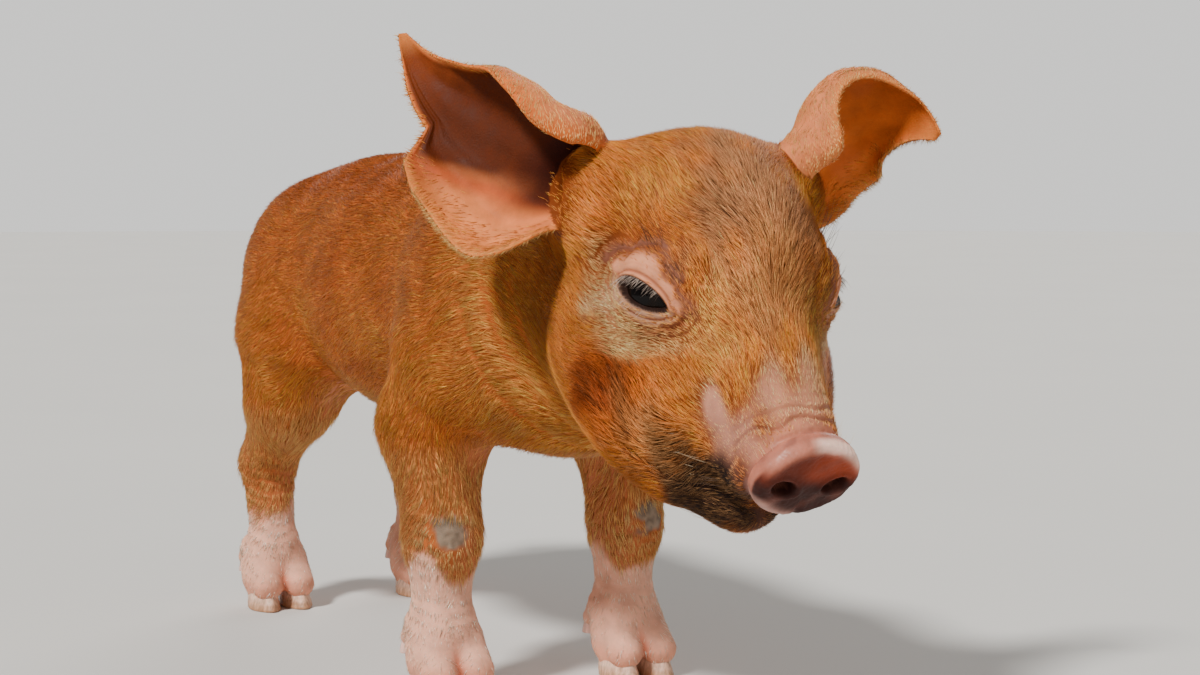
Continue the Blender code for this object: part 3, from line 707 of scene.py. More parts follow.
# How thin an ear is at its rim, how much it thickens inwards, and the height of its ridges and unevenness
EAR_THIN, EAR_SWELL, EAR_RIDGES, EAR_UNEVEN = 0.9, 1.3, 0.45, 0.3


def ear_mesh(side, sign):
    """One ear as a closed cupped sheet, thin at its rims, with where each vertex lies on it."""
    spine = np.array(EAR_SPINES[side], dtype=float)
    stations = np.linspace(0.0, 1.0, len(spine))
    curve = np.polynomial.polynomial.Polynomial
    fits = [curve.fit(stations, spine[:, axis], 4) for axis in range(3)]
    along = np.linspace(0.0, 1.0, EAR_ROWS)
    centre = np.stack([fit(along) for fit in fits], axis=1)
    tangent = unit(np.stack([fit.deriv()(along) for fit in fits], axis=1))
    stops, opens = (0.0, EAR_OPEN_MIDDLE, 1.0), np.array(EAR_OPENS[side]).T
    opening = np.stack([smoothed(np.interp(along, stops, row), 9) for row in opens], axis=1)
    opening = unit(opening - np.sum(opening * tangent, axis=1)[:, None] * tangent)
    across = -sign * np.cross(tangent, opening)
    table = np.array(EAR_SECTIONS[side]).T
    sizes = [smoothed(np.interp(along, table[0], row), 8) for row in table[1:]]
    ragged = ripple(np.stack([along * 95, along * 0, along * 0], axis=1), 5.0, 60 + int(sign))
    for edge in (0, 2):
        sizes[edge] = sizes[edge] + 0.35 * ragged * step(along, 0.2, 0.4)
    if side == "right":
        dip = np.clip((along - EAR_NOTCH + EAR_NOTCH_REACH) / EAR_NOTCH_REACH, 0.0, 1.0)
        heal = np.clip((along - EAR_NOTCH) / EAR_NOTCH_HEAL, 0.0, 1.0)
        sizes[2] = sizes[2] - EAR_NOTCH_DEEP * dip * (1.0 - heal)
    shape = bmesh.new()
    bmesh.ops.create_grid(shape, x_segments=EAR_COLUMNS - 1, y_segments=EAR_ROWS - 1, size=0.5)
    shares = np.array([2.0 * vertex.co.x for vertex in shape.verts])
    rows = np.array([round((vertex.co.y + 0.5) * (EAR_ROWS - 1)) for vertex in shape.verts])
    front = shares > 0
    wide = np.where(front, sizes[0][rows], sizes[2][rows])
    turn = np.where(front, sizes[1][rows], sizes[3][rows])
    steps = (np.arange(EAR_STEPS) + 0.5) / EAR_STEPS * np.abs(shares)[:, None]
    lean = np.radians(turn)[:, None] * steps ** np.where(front, EAR_FRONT_CURL, EAR_BACK_CURL)[:, None]
    reach = wide * shares * np.cos(lean).mean(axis=1)
    rise = wide * np.abs(shares) * np.sin(lean).mean(axis=1)
    places = centre[rows] + reach[:, None] * across[rows] + rise[:, None] * opening[rows]
    for vertex, place in zip(shape.verts, places):
        vertex.co = Vector(place) * MM
    ear = from_bmesh(f"grown_{side}", shape)
    normal = normals_of(ear.data)
    inner = np.where(np.sum(normal * opening[rows], axis=1).mean() > 0, 1.0, -1.0)
    modified(ear, "SOLIDIFY", thickness=MM, offset=0.0, use_even_offset=False, use_rim=True)
    along = along[rows]
    inland = step(np.abs(shares), 1.0, 0.72) * step(along, 1.0, 0.86)
    thick = inner * (EAR_THIN + EAR_SWELL * inland) / 2
    ridges = EAR_RIDGES * np.cos(shares * 17.0) * inland * step(along, 0.1, 0.35) * step(along, 0.95, 0.6)
    uneven = EAR_UNEVEN * ripple(places, 9.0, 21) * inland
    sheets = [
        (places + normal * (thick + ridges + uneven)[:, None], 1.0),
        (places + normal * (-thick + ridges * 0.4 + uneven)[:, None], 0.0),
    ]
    first = coordinates(ear.data)[:len(places)]
    if np.sum((first - places) * normal, axis=1).mean() * inner < 0:
        sheets.reverse()
    set_coordinates(ear.data, np.concatenate([sheet for sheet, _ in sheets]))
    facts = {"along": along, "share": shares, "tangent": tangent[rows], "across": across[rows]}
    record = {key: np.concatenate([value, value]) for key, value in facts.items()}
    record["points"] = coordinates(ear.data)
    record["inside"] = np.repeat([inside for _, inside in sheets], len(places))
    shape = bmesh.new()
    shape.from_mesh(ear.data)
    bmesh.ops.recalc_face_normals(shape, faces=shape.faces)
    shape.to_mesh(ear.data)
    shape.free()
    return ear, record


# Tail
def tail_place(share):
    """A point on the tail's middle line, and its radius."""
    turn = math.radians(max(0.0, share - 0.12) * 470.0)
    loop = 12.0 * min(1.0, share / 0.25)
    place = np.array([
        -352.0 - 26.0 * min(1.0, share / 0.3) + 2.0 * share - 7.0 * math.sin(turn) * share,
        loop * math.sin(turn) * 0.9,
        181.0 - 12.0 * share - loop * (1.0 - math.cos(turn)) * 0.9,
    ])
    return place, TAIL_THICK + (TAIL_TIP - TAIL_THICK) * share ** 0.8


# Points along the tail, and how far its skin lies inside the solid
TAIL_POINTS, TAIL_INSET = 22, 0.35


def tail_mesh():
    curve = bpy.data.curves.new("grown_tail", "CURVE")
    curve.dimensions = "3D"
    curve.bevel_depth = MM
    curve.bevel_resolution = 6
    curve.use_fill_caps = True
    path = curve.splines.new("NURBS")
    path.points.add(TAIL_POINTS - 1)
    for number, point in enumerate(path.points):
        place, radius = tail_place(number / (TAIL_POINTS - 1))
        point.co = (*(place * MM), 1.0)
        point.radius = radius - TAIL_INSET
    path.use_endpoint_u = True
    path.order_u = 4
    path.resolution_u = 6
    made = link("grown_tail", curve)
    mesh = evaluated(made)
    bpy.data.objects.remove(made)
    shape = bmesh.new()
    shape.from_mesh(mesh)
    bmesh.ops.remove_doubles(shape, verts=shape.verts, dist=1e-6)
    bmesh.ops.triangulate(shape, faces=shape.faces)
    return from_bmesh("grown_tail", shape)


def nearest(records, points, reach):
    """For each point, the index of the nearest of the recorded points within reach, or -1."""
    tree = KDTree(len(records))
    for index, place in enumerate(records):
        tree.insert(place, index)
    tree.balance()
    found = np.full(len(points), -1)
    for index, point in enumerate(points):
        _, which, away = tree.find(point)
        if away < reach:
            found[index] = which
    return found


SKIN = {}


def grown_into(body, piece):
    """Joins a closed piece to the body."""
    modified(body, "BOOLEAN", operation="UNION", object=piece, solver="MANIFOLD")
    bpy.data.objects.remove(piece)


def joint_softness(mesh, on_ear, away):
    """How far each point gives way to its neighbours: most where an ear leaves the head."""
    spread = np.where(on_ear, hump(away, 0.5, 2.6), 0.0)
    first, second = edge_ends(mesh)
    for _ in range(4):
        np.maximum.at(spread, first, spread[second] * 0.85)
        np.maximum.at(spread, second, spread[first] * 0.85)
    return np.clip(spread * 1.3, 0.0, 0.7)


def make_skin():
    """The finished skin, with what the coat and the colours need to know of each vertex."""
    body = body_mesh()
    points = coordinates(body.data)
    set_coordinates(body.data, sculpted(points, unit(slope(points))))
    records = []
    for side, sign in SIDES:
        ear, record = ear_mesh(side, sign)
        records.append(record)
        modified(ear, "TRIANGULATE")
        grown_into(body, ear)
    grown_into(body, tail_mesh())
    points = coordinates(body.data)
    facts = {key: np.concatenate([record[key] for record in records]) for key in records[0]}
    close = np.flatnonzero((points[:, 2] > 165) & (points[:, 0] > -110) & (np.abs(points[:, 1]) > 18))
    ear_of = np.full(len(points), -1)
    ear_of[close] = nearest(facts["points"], points[close], 1.2)
    away = flesh(points)
    ear_of[(ear_of >= 0) & (away < -0.4)] = -1
    soft = joint_softness(body.data, ear_of >= 0, away)
    for _ in range(8):
        points = evened(body.data, points, soft)
    set_coordinates(body.data, points + SHIFT)
    body.name = "skin"
    smooth_shaded(body)
    SKIN.update(made=body, ear_of=ear_of, ear=facts)
    return body


# Colours of the trunk's and the face's hair, and of the skin on the head and on the trunk
HAIR_GINGER, HAIR_FACE = (0.96, 0.225, 0.036), (0.72, 0.185, 0.020)
SKIN_GINGER, SKIN_TRUNK = (0.200, 0.044, 0.008), (0.44, 0.100, 0.018)
# Markings of the head. Each: place in the head frame, radii, unevenness, skin colour, hair colour, and what
# the hair's length and its share are multiplied by
HEAD_MARKS = (
    # crown and forehead: grey-brown with straw tips
    ((-14, 0, 30), (38, 24, 20), 0.60, (0.080, 0.034, 0.017), (0.42, 0.175, 0.075), 1.05, 1.00),
    ((14, 0, 20), (22, 12, 12), 0.60, (0.150, 0.052, 0.018), (0.58, 0.210, 0.062), 1.00, 1.00),
    # golden side of the bridge, and golden brow between the ear and the forehead
    ((20, 22, 8), (17, 9, 9), 0.60, (0.24, 0.070, 0.018), (0.94, 0.320, 0.070), 0.90, 1.00),
    ((-28, 26, 18), (12, 11, 12), 0.60, (0.24, 0.065, 0.015), (0.88, 0.260, 0.040), 0.95, 1.00),
    # painted shade darkening the hollow of the cheek
    ((20, 41, -25), (13, 10, 15), 0.60, (0.040, 0.008, 0.003), (0.22, 0.036, 0.004), 1.00, 1.00),
    # cream hair beside and under the eye
    ((6, 38, -10.5), (10, 8, 4.0), 0.80, (0.28, 0.105, 0.040), (0.96, 0.390, 0.110), 0.85, 0.95),
    ((-6.5, 40.5, -10.5), (5.0, 8, 5.5), 0.80, (0.40, 0.190, 0.100), (1.00, 0.620, 0.330), 0.85, 0.92),
    # bridge of the nose near the snout, thin hair over mauve skin
    ((52, 0, 13), (14, 14, 9), 0.70, (0.46, 0.190, 0.110), (0.76, 0.380, 0.190), 0.55, 0.50),
    # bare patch beside the muzzle
    ((41, 21, -2.3), (8, 5, 3.0), 0.80, (0.52, 0.235, 0.150), (0.88, 0.480, 0.230), 0.45, 0.35),
    ((54, 17, -4), (13, 9, 9), 0.70, (0.40, 0.175, 0.120), (0.60, 0.300, 0.160), 0.50, 0.52),
    # dark wiry upper lip
    ((38, 29, -24), (17, 11, 11), 0.75, (0.070, 0.028, 0.012), (0.300, 0.115, 0.032), 1.15, 1.00),
    ((51, 21, -27), (17, 12, 12), 0.55, (0.022, 0.010, 0.006), (0.085, 0.036, 0.016), 1.15, 1.00),
    ((60, 18, -13), (9, 9, 10), 0.50, (0.150, 0.065, 0.045), (0.240, 0.105, 0.050), 0.80, 0.85),
    ((60, 14, -29), (15, 17, 19), 0.40, (0.018, 0.008, 0.006), (0.060, 0.026, 0.013), 0.90, 0.95),
    # orange chin and lower jaw
    ((44, 0, -55), (26, 20, 6), 0.35, (0.120, 0.026, 0.005), (0.56, 0.120, 0.012), 0.80, 0.95),
)
# Height of the socks' upper edge on a foreleg and a hind leg
SOCK_TOPS = (54.0, 47.0)


def mixed(colours, weight, other):
    """A colour or a row of them mixed with another by a weight of 0 to 1 at each point."""
    return colours + weight[:, None] * (np.asarray(other) - colours)


def leg_sides(points):
    """Which points are on a foreleg or a hind leg, below the body."""
    x, _, z = points.T
    low = step(z, 104, 92)
    return low * (x > -230) * (x < -100), low * (x < -290)


def lid_masks(points):
    """Bare upper lid, mauve ring, pale lower lid, creases for painted shade, wet rim, and all that lies round
    the eye.
    """
    found = np.zeros((6, len(points)))
    for _, sign in SIDES:
        depth, along, across, out = lid_space(points, sign)
        near = step(depth, -3.0, 2.0) * (out < 24)
        wavy = out + 0.7 * ripple(points, 5.0, 14)
        upper = step(across, -1.0, 2.0)
        inner = step(along, 2.0, 9.0)
        narrow = wavy * (1.0 + 0.70 * step(along, -2.0, 8.0))
        found += near * np.stack([
            upper * step(narrow, 9.2, 6.0),
            np.clip(upper + 0.45 * inner, 0, 1) * hump(narrow, 11.0, 2.0 + 1.4 * inner),
            (1.0 - upper) * step(wavy, 5.4, 2.8),
            upper * hump(out, 1.7, 0.45) + (1.0 - upper) * rolls(out, ((1.0, 2.2, 0.4), (0.7, 5.2, 0.6))),
            step(out, 0.7, 0.0),
            step(wavy, 19.0, 13.0),
        ])
    return found


class Look:
    """What each point of the skin looks like, and the hair that grows there.

    Its length is in millimetres and its lift in degrees. Its share is of the full coat.
    """

    def __init__(self, points, on_head):
        count = len(points)
        self.skin = np.tile(SKIN_GINGER, (count, 1))
        self.hair = np.tile(HAIR_GINGER, (count, 1))
        self.length = 7.2 - 1.2 * step(points[:, 0], -90, -40)
        self.share = np.ones(count)
        self.lift = np.full(count, 7.5)
        self.bleach = 0.65 + 0.35 * on_head
        self.wet = np.zeros(count)

    def paint(self, weight, skin=None, hair=None, length=1.0, share=1.0, lift=1.0):
        """Mixes colours in by a weight of 0 to 1, and scales the hair's length, share and lift by it."""
        if skin is not None:
            self.skin = mixed(self.skin, weight, skin)
        if hair is not None:
            self.hair = mixed(self.hair, weight, hair)
        self.length = self.length * (1.0 + weight * (length - 1.0))
        self.share = self.share * (1.0 + weight * (share - 1.0))
        self.lift = self.lift * (1.0 + weight * (lift - 1.0))


def paint_trunk(look, points, on_head):
    """Patchy ginger, thin and pale on the belly, with painted shade on the back and painted light on the
    neck.
    """
    x, y, z = points.T
    patchy = ripple(points, 22.0, 11)
    look.paint(on_head, hair=HAIR_FACE)
    look.paint(1.0 - on_head, SKIN_TRUNK)
    look.paint(0.40 * step(patchy, -0.2, 1.3), hair=(0.98, 0.290, 0.050))
    look.paint(0.40 * step(patchy, 0.0, -1.4), hair=(0.50, 0.095, 0.010))
    # Painted shade: the top of the back and the upper trunk darkened
    look.paint(0.85 * step(z, 178, 200) * step(x, -70, -100), hair=(0.32, 0.064, 0.009))
    look.paint(0.45 * step(z, 135, 175) * step(x, -100, -125), hair=(0.60, 0.115, 0.014))
    # Painted light: the neck brightened
    look.paint(0.70 * step(x, -115, -90) * (1.0 - on_head), hair=(1.00, 0.310, 0.065))
    belly = step(z, 118, 100) * step(x, -100, -120) * step(np.abs(y), 48, 25)
    look.paint(0.75 * belly, (0.62, 0.260, 0.150))
    look.paint(0.50 * belly, hair=(0.80, 0.380, 0.130))
    look.paint(belly, share=0.45)


def paint_head(look, points, head, on_head):
    """The markings, the wiry lip, the hollow of the cheek with painted shade and less bleached hair, and the
    muzzle's shorter hair.
    """
    ragged = 0.55 * ripple(points, 7.0, 17)
    for place, radii, uneven, skin, hair, length, share in HEAD_MARKS:
        away = away_from(head, place, radii) + uneven * ragged
        look.paint(step(away, 1.0 + uneven, 1.0 - uneven) * on_head, skin, hair, length, share)
    lip = step(away_from(head, (50, 23, -21), (22, 14, 9)), 1.2, 0.7) * on_head
    # Painted shade: less bleach in the hollow of the cheek keeps its hair darker
    hollow = step(away_from(head, (20, 41, -25), (17, 13, 19)), 1.2, 0.6) * on_head
    look.lift += 10.0 * lip
    look.bleach += lip - 0.75 * hollow
    look.paint(step(head[:, 0], 30, 58) * on_head * (1.0 - 0.6 * lip), length=0.55)


def paint_snout(look, points):
    """The disc with its wet face darkened by painted shade, its upper lip paled by a painted highlight, pink
    rims, and the thinner hair behind it.
    """
    ahead, side, up, oval = disc_space(points)
    behind = step(ahead, -13.0, -6.0) * step(oval, 2.2, 1.3)
    look.paint(0.80 * behind * step(up, -2, 8), (0.50, 0.190, 0.115))
    look.paint(0.75 * behind * step(up, 1, -6), (0.100, 0.040, 0.026))
    look.paint(step(ahead, -12, -6) * step(oval, 2.4, 1.4) * step(up, -11, -2), share=0.35)
    disc = step(ahead, -6.5, -3.0) * step(oval, 1.8, 1.25)
    look.paint(disc, share=0.0)
    look.paint(disc * step(up, -13, -7), (0.46, 0.155, 0.100))
    look.paint(disc * step(up, -3, -9), (0.15, 0.050, 0.034))
    lower = step(up, 6, -2)
    face = disc * step(ahead, 1.2 - lower, 2.8 - lower) * step(oval, 1.10 + 0.13 * lower, 0.94 + 0.13 * lower)
    # Painted shade under the rim darkens the face, least in its orange-red upper middle
    middle = (0.35 + 0.65 * step(side, -8.0, 4.0)) * step(up, -2, 6)
    deep = mixed((0.042, 0.011, 0.008), middle, (0.32, 0.044, 0.012))
    look.paint(face, mixed(deep, 0.30 * step(ripple(points, 5.0, 19), 0.2, 1.3), (0.20, 0.070, 0.050)))
    look.paint(disc * step(side, -9, -14) * hump(oval, 1.17, 0.07), (0.50, 0.150, 0.105))
    flank = disc * step(ahead, 2.4, -0.6) * step(side, 8, -4)
    look.paint(0.75 * flank * step(ripple(points, 3.2, 41), -0.3, 1.1), (0.27, 0.092, 0.066))
    # Painted highlight: the upper lip pinkish brown on the right, pale on the left where the light catches it
    lip_colour_and_highlight = mixed((0.50, 0.180, 0.120), step(side, -5.0, 1.0), (1.0, 0.640, 0.520))
    look.paint(disc * hump(oval, 1.0, 0.12) * step(up, 2, 9) * step(ahead, -1.0, 1.5), lip_colour_and_highlight)
    look.wet = 0.35 * disc - 0.20 * face
    low_rim = disc * hump(oval, 0.95, 0.14) * step(up, -4, -8) * step(side, 1, -3)
    look.paint(0.85 * low_rim, (0.62, 0.330, 0.270))
    wing = hump(np.hypot(np.abs(side) - 11.5, up + 5.2), 0.0, 2.6) * face
    look.paint(0.40 * wing, (0.24, 0.090, 0.066))
    # Painted shade: the nostrils black inside
    look.paint(disc * step(ahead, -4, 1) * step(nostril_edge(side, up), 0.4, -1.2), (0.018, 0.005, 0.004))


def paint_eyes_and_mouth(look, points, head, on_head):
    bare, ring, lower, crease, rim, round_eye = lid_masks(points)
    ahead, _, height = head.T
    look.wet = np.clip(look.wet + 0.08 * rim, 0.0, 1.0)
    look.paint(0.45 * round_eye * step(height, 6, -4), hair=(0.92, 0.560, 0.280))
    look.paint(0.70 * ring, (0.26, 0.105, 0.070))
    look.paint(0.60 * ring, hair=(0.170, 0.070, 0.035))
    look.paint(ring, share=0.45)
    look.paint(bare, (0.68, 0.275, 0.150), length=0.6, share=0.06)
    look.paint(0.90 * lower, (0.50, 0.270, 0.170))
    look.paint(lower, share=0.25)
    # Painted shade in the creases of the lids
    look.paint(0.75 * np.clip(crease, 0, 1), (0.22, 0.045, 0.018))
    look.paint(np.clip(rim, 0, 1), (0.026, 0.012, 0.009))
    look.paint(rim, share=0.0)
    look.paint(np.clip(round_eye, 0, 1), length=0.6)
    # Painted shade: a dark, bare line along the slit of the mouth
    lips = hump(height - mouth_line(ahead), 0.0, 1.1) * step(ahead, MOUTH_BACK, 32) * on_head
    look.paint(0.80 * lips, (0.035, 0.012, 0.008), share=0.0)


def paint_legs(look, points):
    """Legs brightened with painted light, straw above white socks, pink toes with a red cleft, and the knees'
    calluses.
    """
    x, y, z = points.T
    y = np.abs(y)
    for mask, (foot_x, foot_y), top in zip(leg_sides(points), FEET, SOCK_TOPS):
        line = top + 5.0 * ripple(points, 13.0, 23) - 0.35 * (x - foot_x)
        sock = mask * step(z, line + 3.0, line - 3.0)
        # Painted light: the legs below the body brightened, their tips more bleached
        lit = mask * step(z, 120, 95)
        look.bleach += 0.5 * lit
        look.paint(0.6 * lit, (0.40, 0.110, 0.030), (1.00, 0.350, 0.110))
        look.paint(sock, (0.78, 0.400, 0.280), (0.90, 0.600, 0.460), share=0.45, lift=0.5)
        look.paint(0.5 * mask * hump(z, line + 6.0, 4.5) * (1.0 - sock), hair=(0.92, 0.420, 0.150))
        look.paint(mask * step(z, 30, 14), share=0.25)
        look.paint(mask * step(z, 80, 30), length=0.50)
        look.paint(0.7 * mask * step(z, 17, 9), (0.74, 0.300, 0.190))
        cleft = mask * step(z, 24, 12) * step(x, foot_x + 2.0, foot_x + 8.0) * hump(y, foot_y, 1.6)
        look.paint(0.8 * cleft, (0.42, 0.090, 0.040))
    fore = leg_sides(points)[0]
    beside = np.hypot((x - FORE_X - 12) * 0.6, y - FORE_Y - 3)
    pad = np.hypot(beside, z - 64) / 6.5 + 0.2 * ripple(points, 3.0, 29)
    speck = step(ripple(points, 1.3, 30), -1.2, 1.2)
    callus = mixed((0.170, 0.120, 0.085), speck, (0.34, 0.250, 0.180))
    look.paint(fore * step(pad, 1.15, 0.85), callus, share=0.0)
    look.paint(0.8 * fore * hump(pad, 1.35, 0.25), hair=(0.94, 0.480, 0.200))
    look.paint(fore * step(pad, 2.0, 1.3), length=0.65)


def paint_tail(look, points):
    tail = step(points[:, 0], -352, -362)
    look.paint(0.85 * tail, (0.60, 0.230, 0.120))
    look.paint(0.60 * tail, hair=(0.80, 0.340, 0.100))
    look.paint(tail, length=0.45, share=0.5)


def paint_ears(look, points, ear_of, ear):
    """Salmon backs, a pale band and rim, and painted shade: dark in the right ear's upper inside, faint in
    the left's, and deep in both hollows.
    """
    for side, _ in SIDES:
        root = step(away_from(points, ear_canal(side)), 26, 12) * (ear_of < 0)
        look.paint(root, length=0.45, lift=0.6)
        look.paint(root * root, share=0.2)
    on_ear = np.flatnonzero(ear_of >= 0)
    along, across, inside = (ear[key][ear_of[on_ear]] for key in ("along", "share", "inside"))
    inside = inside > 0.5
    mine = points[on_ear]
    near_ear = mine[:, 1] < 0
    tip = step(along, 0.70, 1.0)
    rim = np.maximum(step(np.abs(across), 0.84, 0.98), step(along, 0.92, 0.99))
    band = step(across, 0.25, 0.6)
    outer = mixed((0.46, 0.115, 0.018), band, (0.64, 0.200, 0.078))
    outer = mixed(outer, 0.6 * band * near_ear * step(along, 0.45, 0.25), (0.46, 0.150, 0.075))
    outer = mixed(outer, 0.5 * tip, (0.50, 0.125, 0.018))
    # Painted shade of each ear's own fold: beyond the brink the right ear's upper inside is darkened
    # strongly, the left ear's faintly
    brink = np.interp(along, (0.35, 0.50, 0.62, 0.72), (-0.02, -0.14, -0.42, -0.86))
    near_ear_shade = 0.95 * near_ear * step(across, brink - 0.10, brink + 0.22)
    far_ear_shade = 0.20 * (1 - near_ear) * step(across, -0.16, 0.12)
    # Painted shade deep in each ear's hollow
    hole = step(along, 0.52, 0.34) * step(across, -0.40, -0.02) * step(across, 0.95, 0.60)
    inner = np.where(near_ear[:, None], (0.78, 0.235, 0.075), (0.56, 0.125, 0.018))
    for weight, colour in (
        (0.50 * step(across, -0.5, -0.95), (0.66, 0.190, 0.045)),
        (0.40 * step(ripple(mine, 9.0, 33), 0.2, -1.2), (0.60, 0.140, 0.040)),
        # painted shade below the right ear's notch
        (0.80 * near_ear * hump(along, 0.66, 0.08) * step(across, -0.25, -0.5), (0.34, 0.080, 0.018)),
        # painted shade: a reddish band along the edge of the fold's shade
        (0.90 * near_ear * hump(across - brink, -0.06, 0.14), (0.46, 0.085, 0.025)),
        ((near_ear_shade + far_ear_shade) * step(across, 0.98, 0.74), (0.052, 0.0065, 0.0018)),
        (0.90 * hole, (0.030, 0.004, 0.002)),
        (0.45 * tip, (0.34, 0.065, 0.010)),
    ):
        inner = mixed(inner, weight, colour)
    colour = mixed(np.where(inside[:, None], inner, outer), 0.70 * rim, (0.70, 0.215, 0.050))
    outer_rim = 0.8 * near_ear * ~inside * step(across, 0.80, 0.98)
    look.skin[on_ear] = mixed(colour, outer_rim, (0.60, 0.120, 0.018))
    fur = mixed((0.72, 0.210, 0.025), band, (0.84, 0.300, 0.090))
    fur = mixed(fur, inside * 1.0, (0.74, 0.205, 0.030))
    look.hair[on_ear] = mixed(fur, 0.7 * rim, (0.96, 0.440, 0.160))
    look.length[on_ear] = (3.4 + 0.8 * (1.0 - along) - 0.9 * rim) * (1.0 - 0.3 * band)
    fringe = np.maximum(hump(across, 0.92, 0.10) * step(along, 0.05, 0.2), 0.7 * step(across, -0.42, -0.90))
    fringe *= step(along, 1.0, 0.9)
    look.share[on_ear] = np.where(inside, 0.80 * fringe, 0.80 - 0.42 * band + 0.30 * rim)
    look.lift[on_ear] = np.where(inside, 8.0, 6.0)


def plan(points, ear_of, ear):
    """The look of every point, as a table of rows."""
    head = in_head(points)
    on_head = step(points[:, 0], -70, -45)
    look = Look(points, on_head)
    paint_trunk(look, points, on_head)
    paint_head(look, points, head, on_head)
    paint_snout(look, points)
    paint_eyes_and_mouth(look, points, head, on_head)
    paint_legs(look, points)
    paint_tail(look, points)
    paint_ears(look, points, ear_of, ear)
    look.share = np.clip(look.share, 0, 1)
    return vars(look)


def turned(ways, normals, angles):
    """Directions that lie on the skin, turned about its normal."""
    return ways * np.cos(angles)[:, None] + np.cross(normals, ways) * np.sin(angles)[:, None]


def lie(points, normals, ear_of, ear):
    """The way the hair lies on the skin at each point."""
    folded = in_head(points)
    side = np.sign(in_head(points, fold=False)[:, 1])
    ahead, away, height = folded.T
    x, y, z = points.T
    one, hand = np.ones(len(points)), np.sign(y)
    lip = step(away_from(folded, (50, 23, -22), (24, 14, 10)), 1.2, 0.6)
    aside = side * (0.10 + 0.55 * step(away, 2, 26)) * step(ahead, 60, 10)
    face = unit(np.stack([-one, aside, -0.28 * step(height, 8, -20) - 0.9 * lip], axis=1))
    outward = unit(folded - EYE_PLACE)
    outward[:, 1] *= side
    near_eye = step(away_from(folded, EYE_PLACE), 30, 14)
    face = unit((face + 0.55 * near_eye[:, None] * outward) @ HEAD)
    trunk = unit(np.stack([-one, 0.18 * hand * step(z, 200, 150), -0.42 * step(z, 195, 120)], axis=1))
    down = unit(np.stack([-0.30 * one, 0.10 * hand, -one], axis=1))
    thigh = step(z, 150, 105) * ((x < -300) | ((x > -175) & (x < -115))) * step(np.abs(y), 25, 40)
    legs = np.clip(np.maximum(*leg_sides(points)) + 0.7 * thigh, 0, 1)
    ways = mixed(mixed(trunk, legs, down), step(x, -100, -60), face)
    ways[x < -358] = (-0.4, 0.0, -1.0)
    on_ear = ear_of >= 0
    tangent, across, share = (ear[key][ear_of[on_ear]] for key in ("tangent", "across", "share"))
    ways[on_ear] = tangent * (1.15 - np.abs(share))[:, None] + across * (share * 0.55)[:, None]
    swirl = np.radians(16.0 * ripple(points, 16.0, 37) + 7.0 * ripple(points, 5.0, 38))
    ways = unit(ways - np.sum(ways * normals, axis=1)[:, None] * normals)
    return turned(ways, normals, swirl)


# The coat's map: each part of the skin has its own tile, unrolled round that part's own length
def full_turn(first, second):
    """Share of a full turn at which a place lies round an axis."""
    return np.arctan2(first, second) / (2 * math.pi) + 0.5


def coat_map(points, ear_of, ear):
    x, y, z = points.T
    ahead, aside, height = in_head(points, fold=False).T
    spots = np.stack([
        0.02 + 0.46 * full_turn(y, z - 152.0), 0.02 + 0.50 * np.clip((x + 380) / 340, 0, 1),
    ], axis=1)
    on_head = x > -58
    spots[on_head] = np.stack([
        0.52 + 0.46 * full_turn(aside, height + 14.0), 0.02 + 0.50 * np.clip((ahead + 75) / 150, 0, 1),
    ], axis=1)[on_head]
    for number, (foot_x, foot_y) in enumerate(FEET):
        for hand, (_, sign) in enumerate(SIDES):
            mine = (np.abs(x - foot_x - 5) < 48) & (y * sign > 0) & (z < 100)
            turn = full_turn(y[mine] - sign * foot_y, x[mine] - foot_x - 5)
            spots[mine, 0] = 0.02 + 0.24 * (2 * number + hand) + 0.21 * turn
            spots[mine, 1] = 0.55 + 0.20 * z[mine] / 100
    on_ear = ear_of >= 0
    along, share, inside = (ear[key][ear_of[on_ear]] for key in ("along", "share", "inside"))
    tile = 2 * (y[on_ear] > 0) + (inside > 0.5)
    spots[on_ear] = np.stack([0.02 + 0.24 * tile + 0.21 * (share + 1) / 2, 0.78 + 0.20 * along], axis=1)
    return spots


# Width of a tuft's patch on the map
MAP_PATCH = 0.003
# How far hairs differ in tone, a hair's tone at its root and tip, and how much its tip is bleached, to straw
# The darker root stands for shade deep in the coat and the brighter tip for a highlight: painted shade and
# painted highlight
HAIR_TONES, HAIR_ROOT, HAIR_TIP, HAIR_PALE, HAIR_STRAW = 0.36, 0.48, 1.60, 0.20, (1.0, 0.52, 0.22)
# How far a tuft is rooted below the skin, in millimetres, and its faces
ROOT_DEEP = 0.2
TUFT_FACES = np.array([(0, 1, 3), (1, 2, 3), (2, 0, 3), (0, 2, 1)])


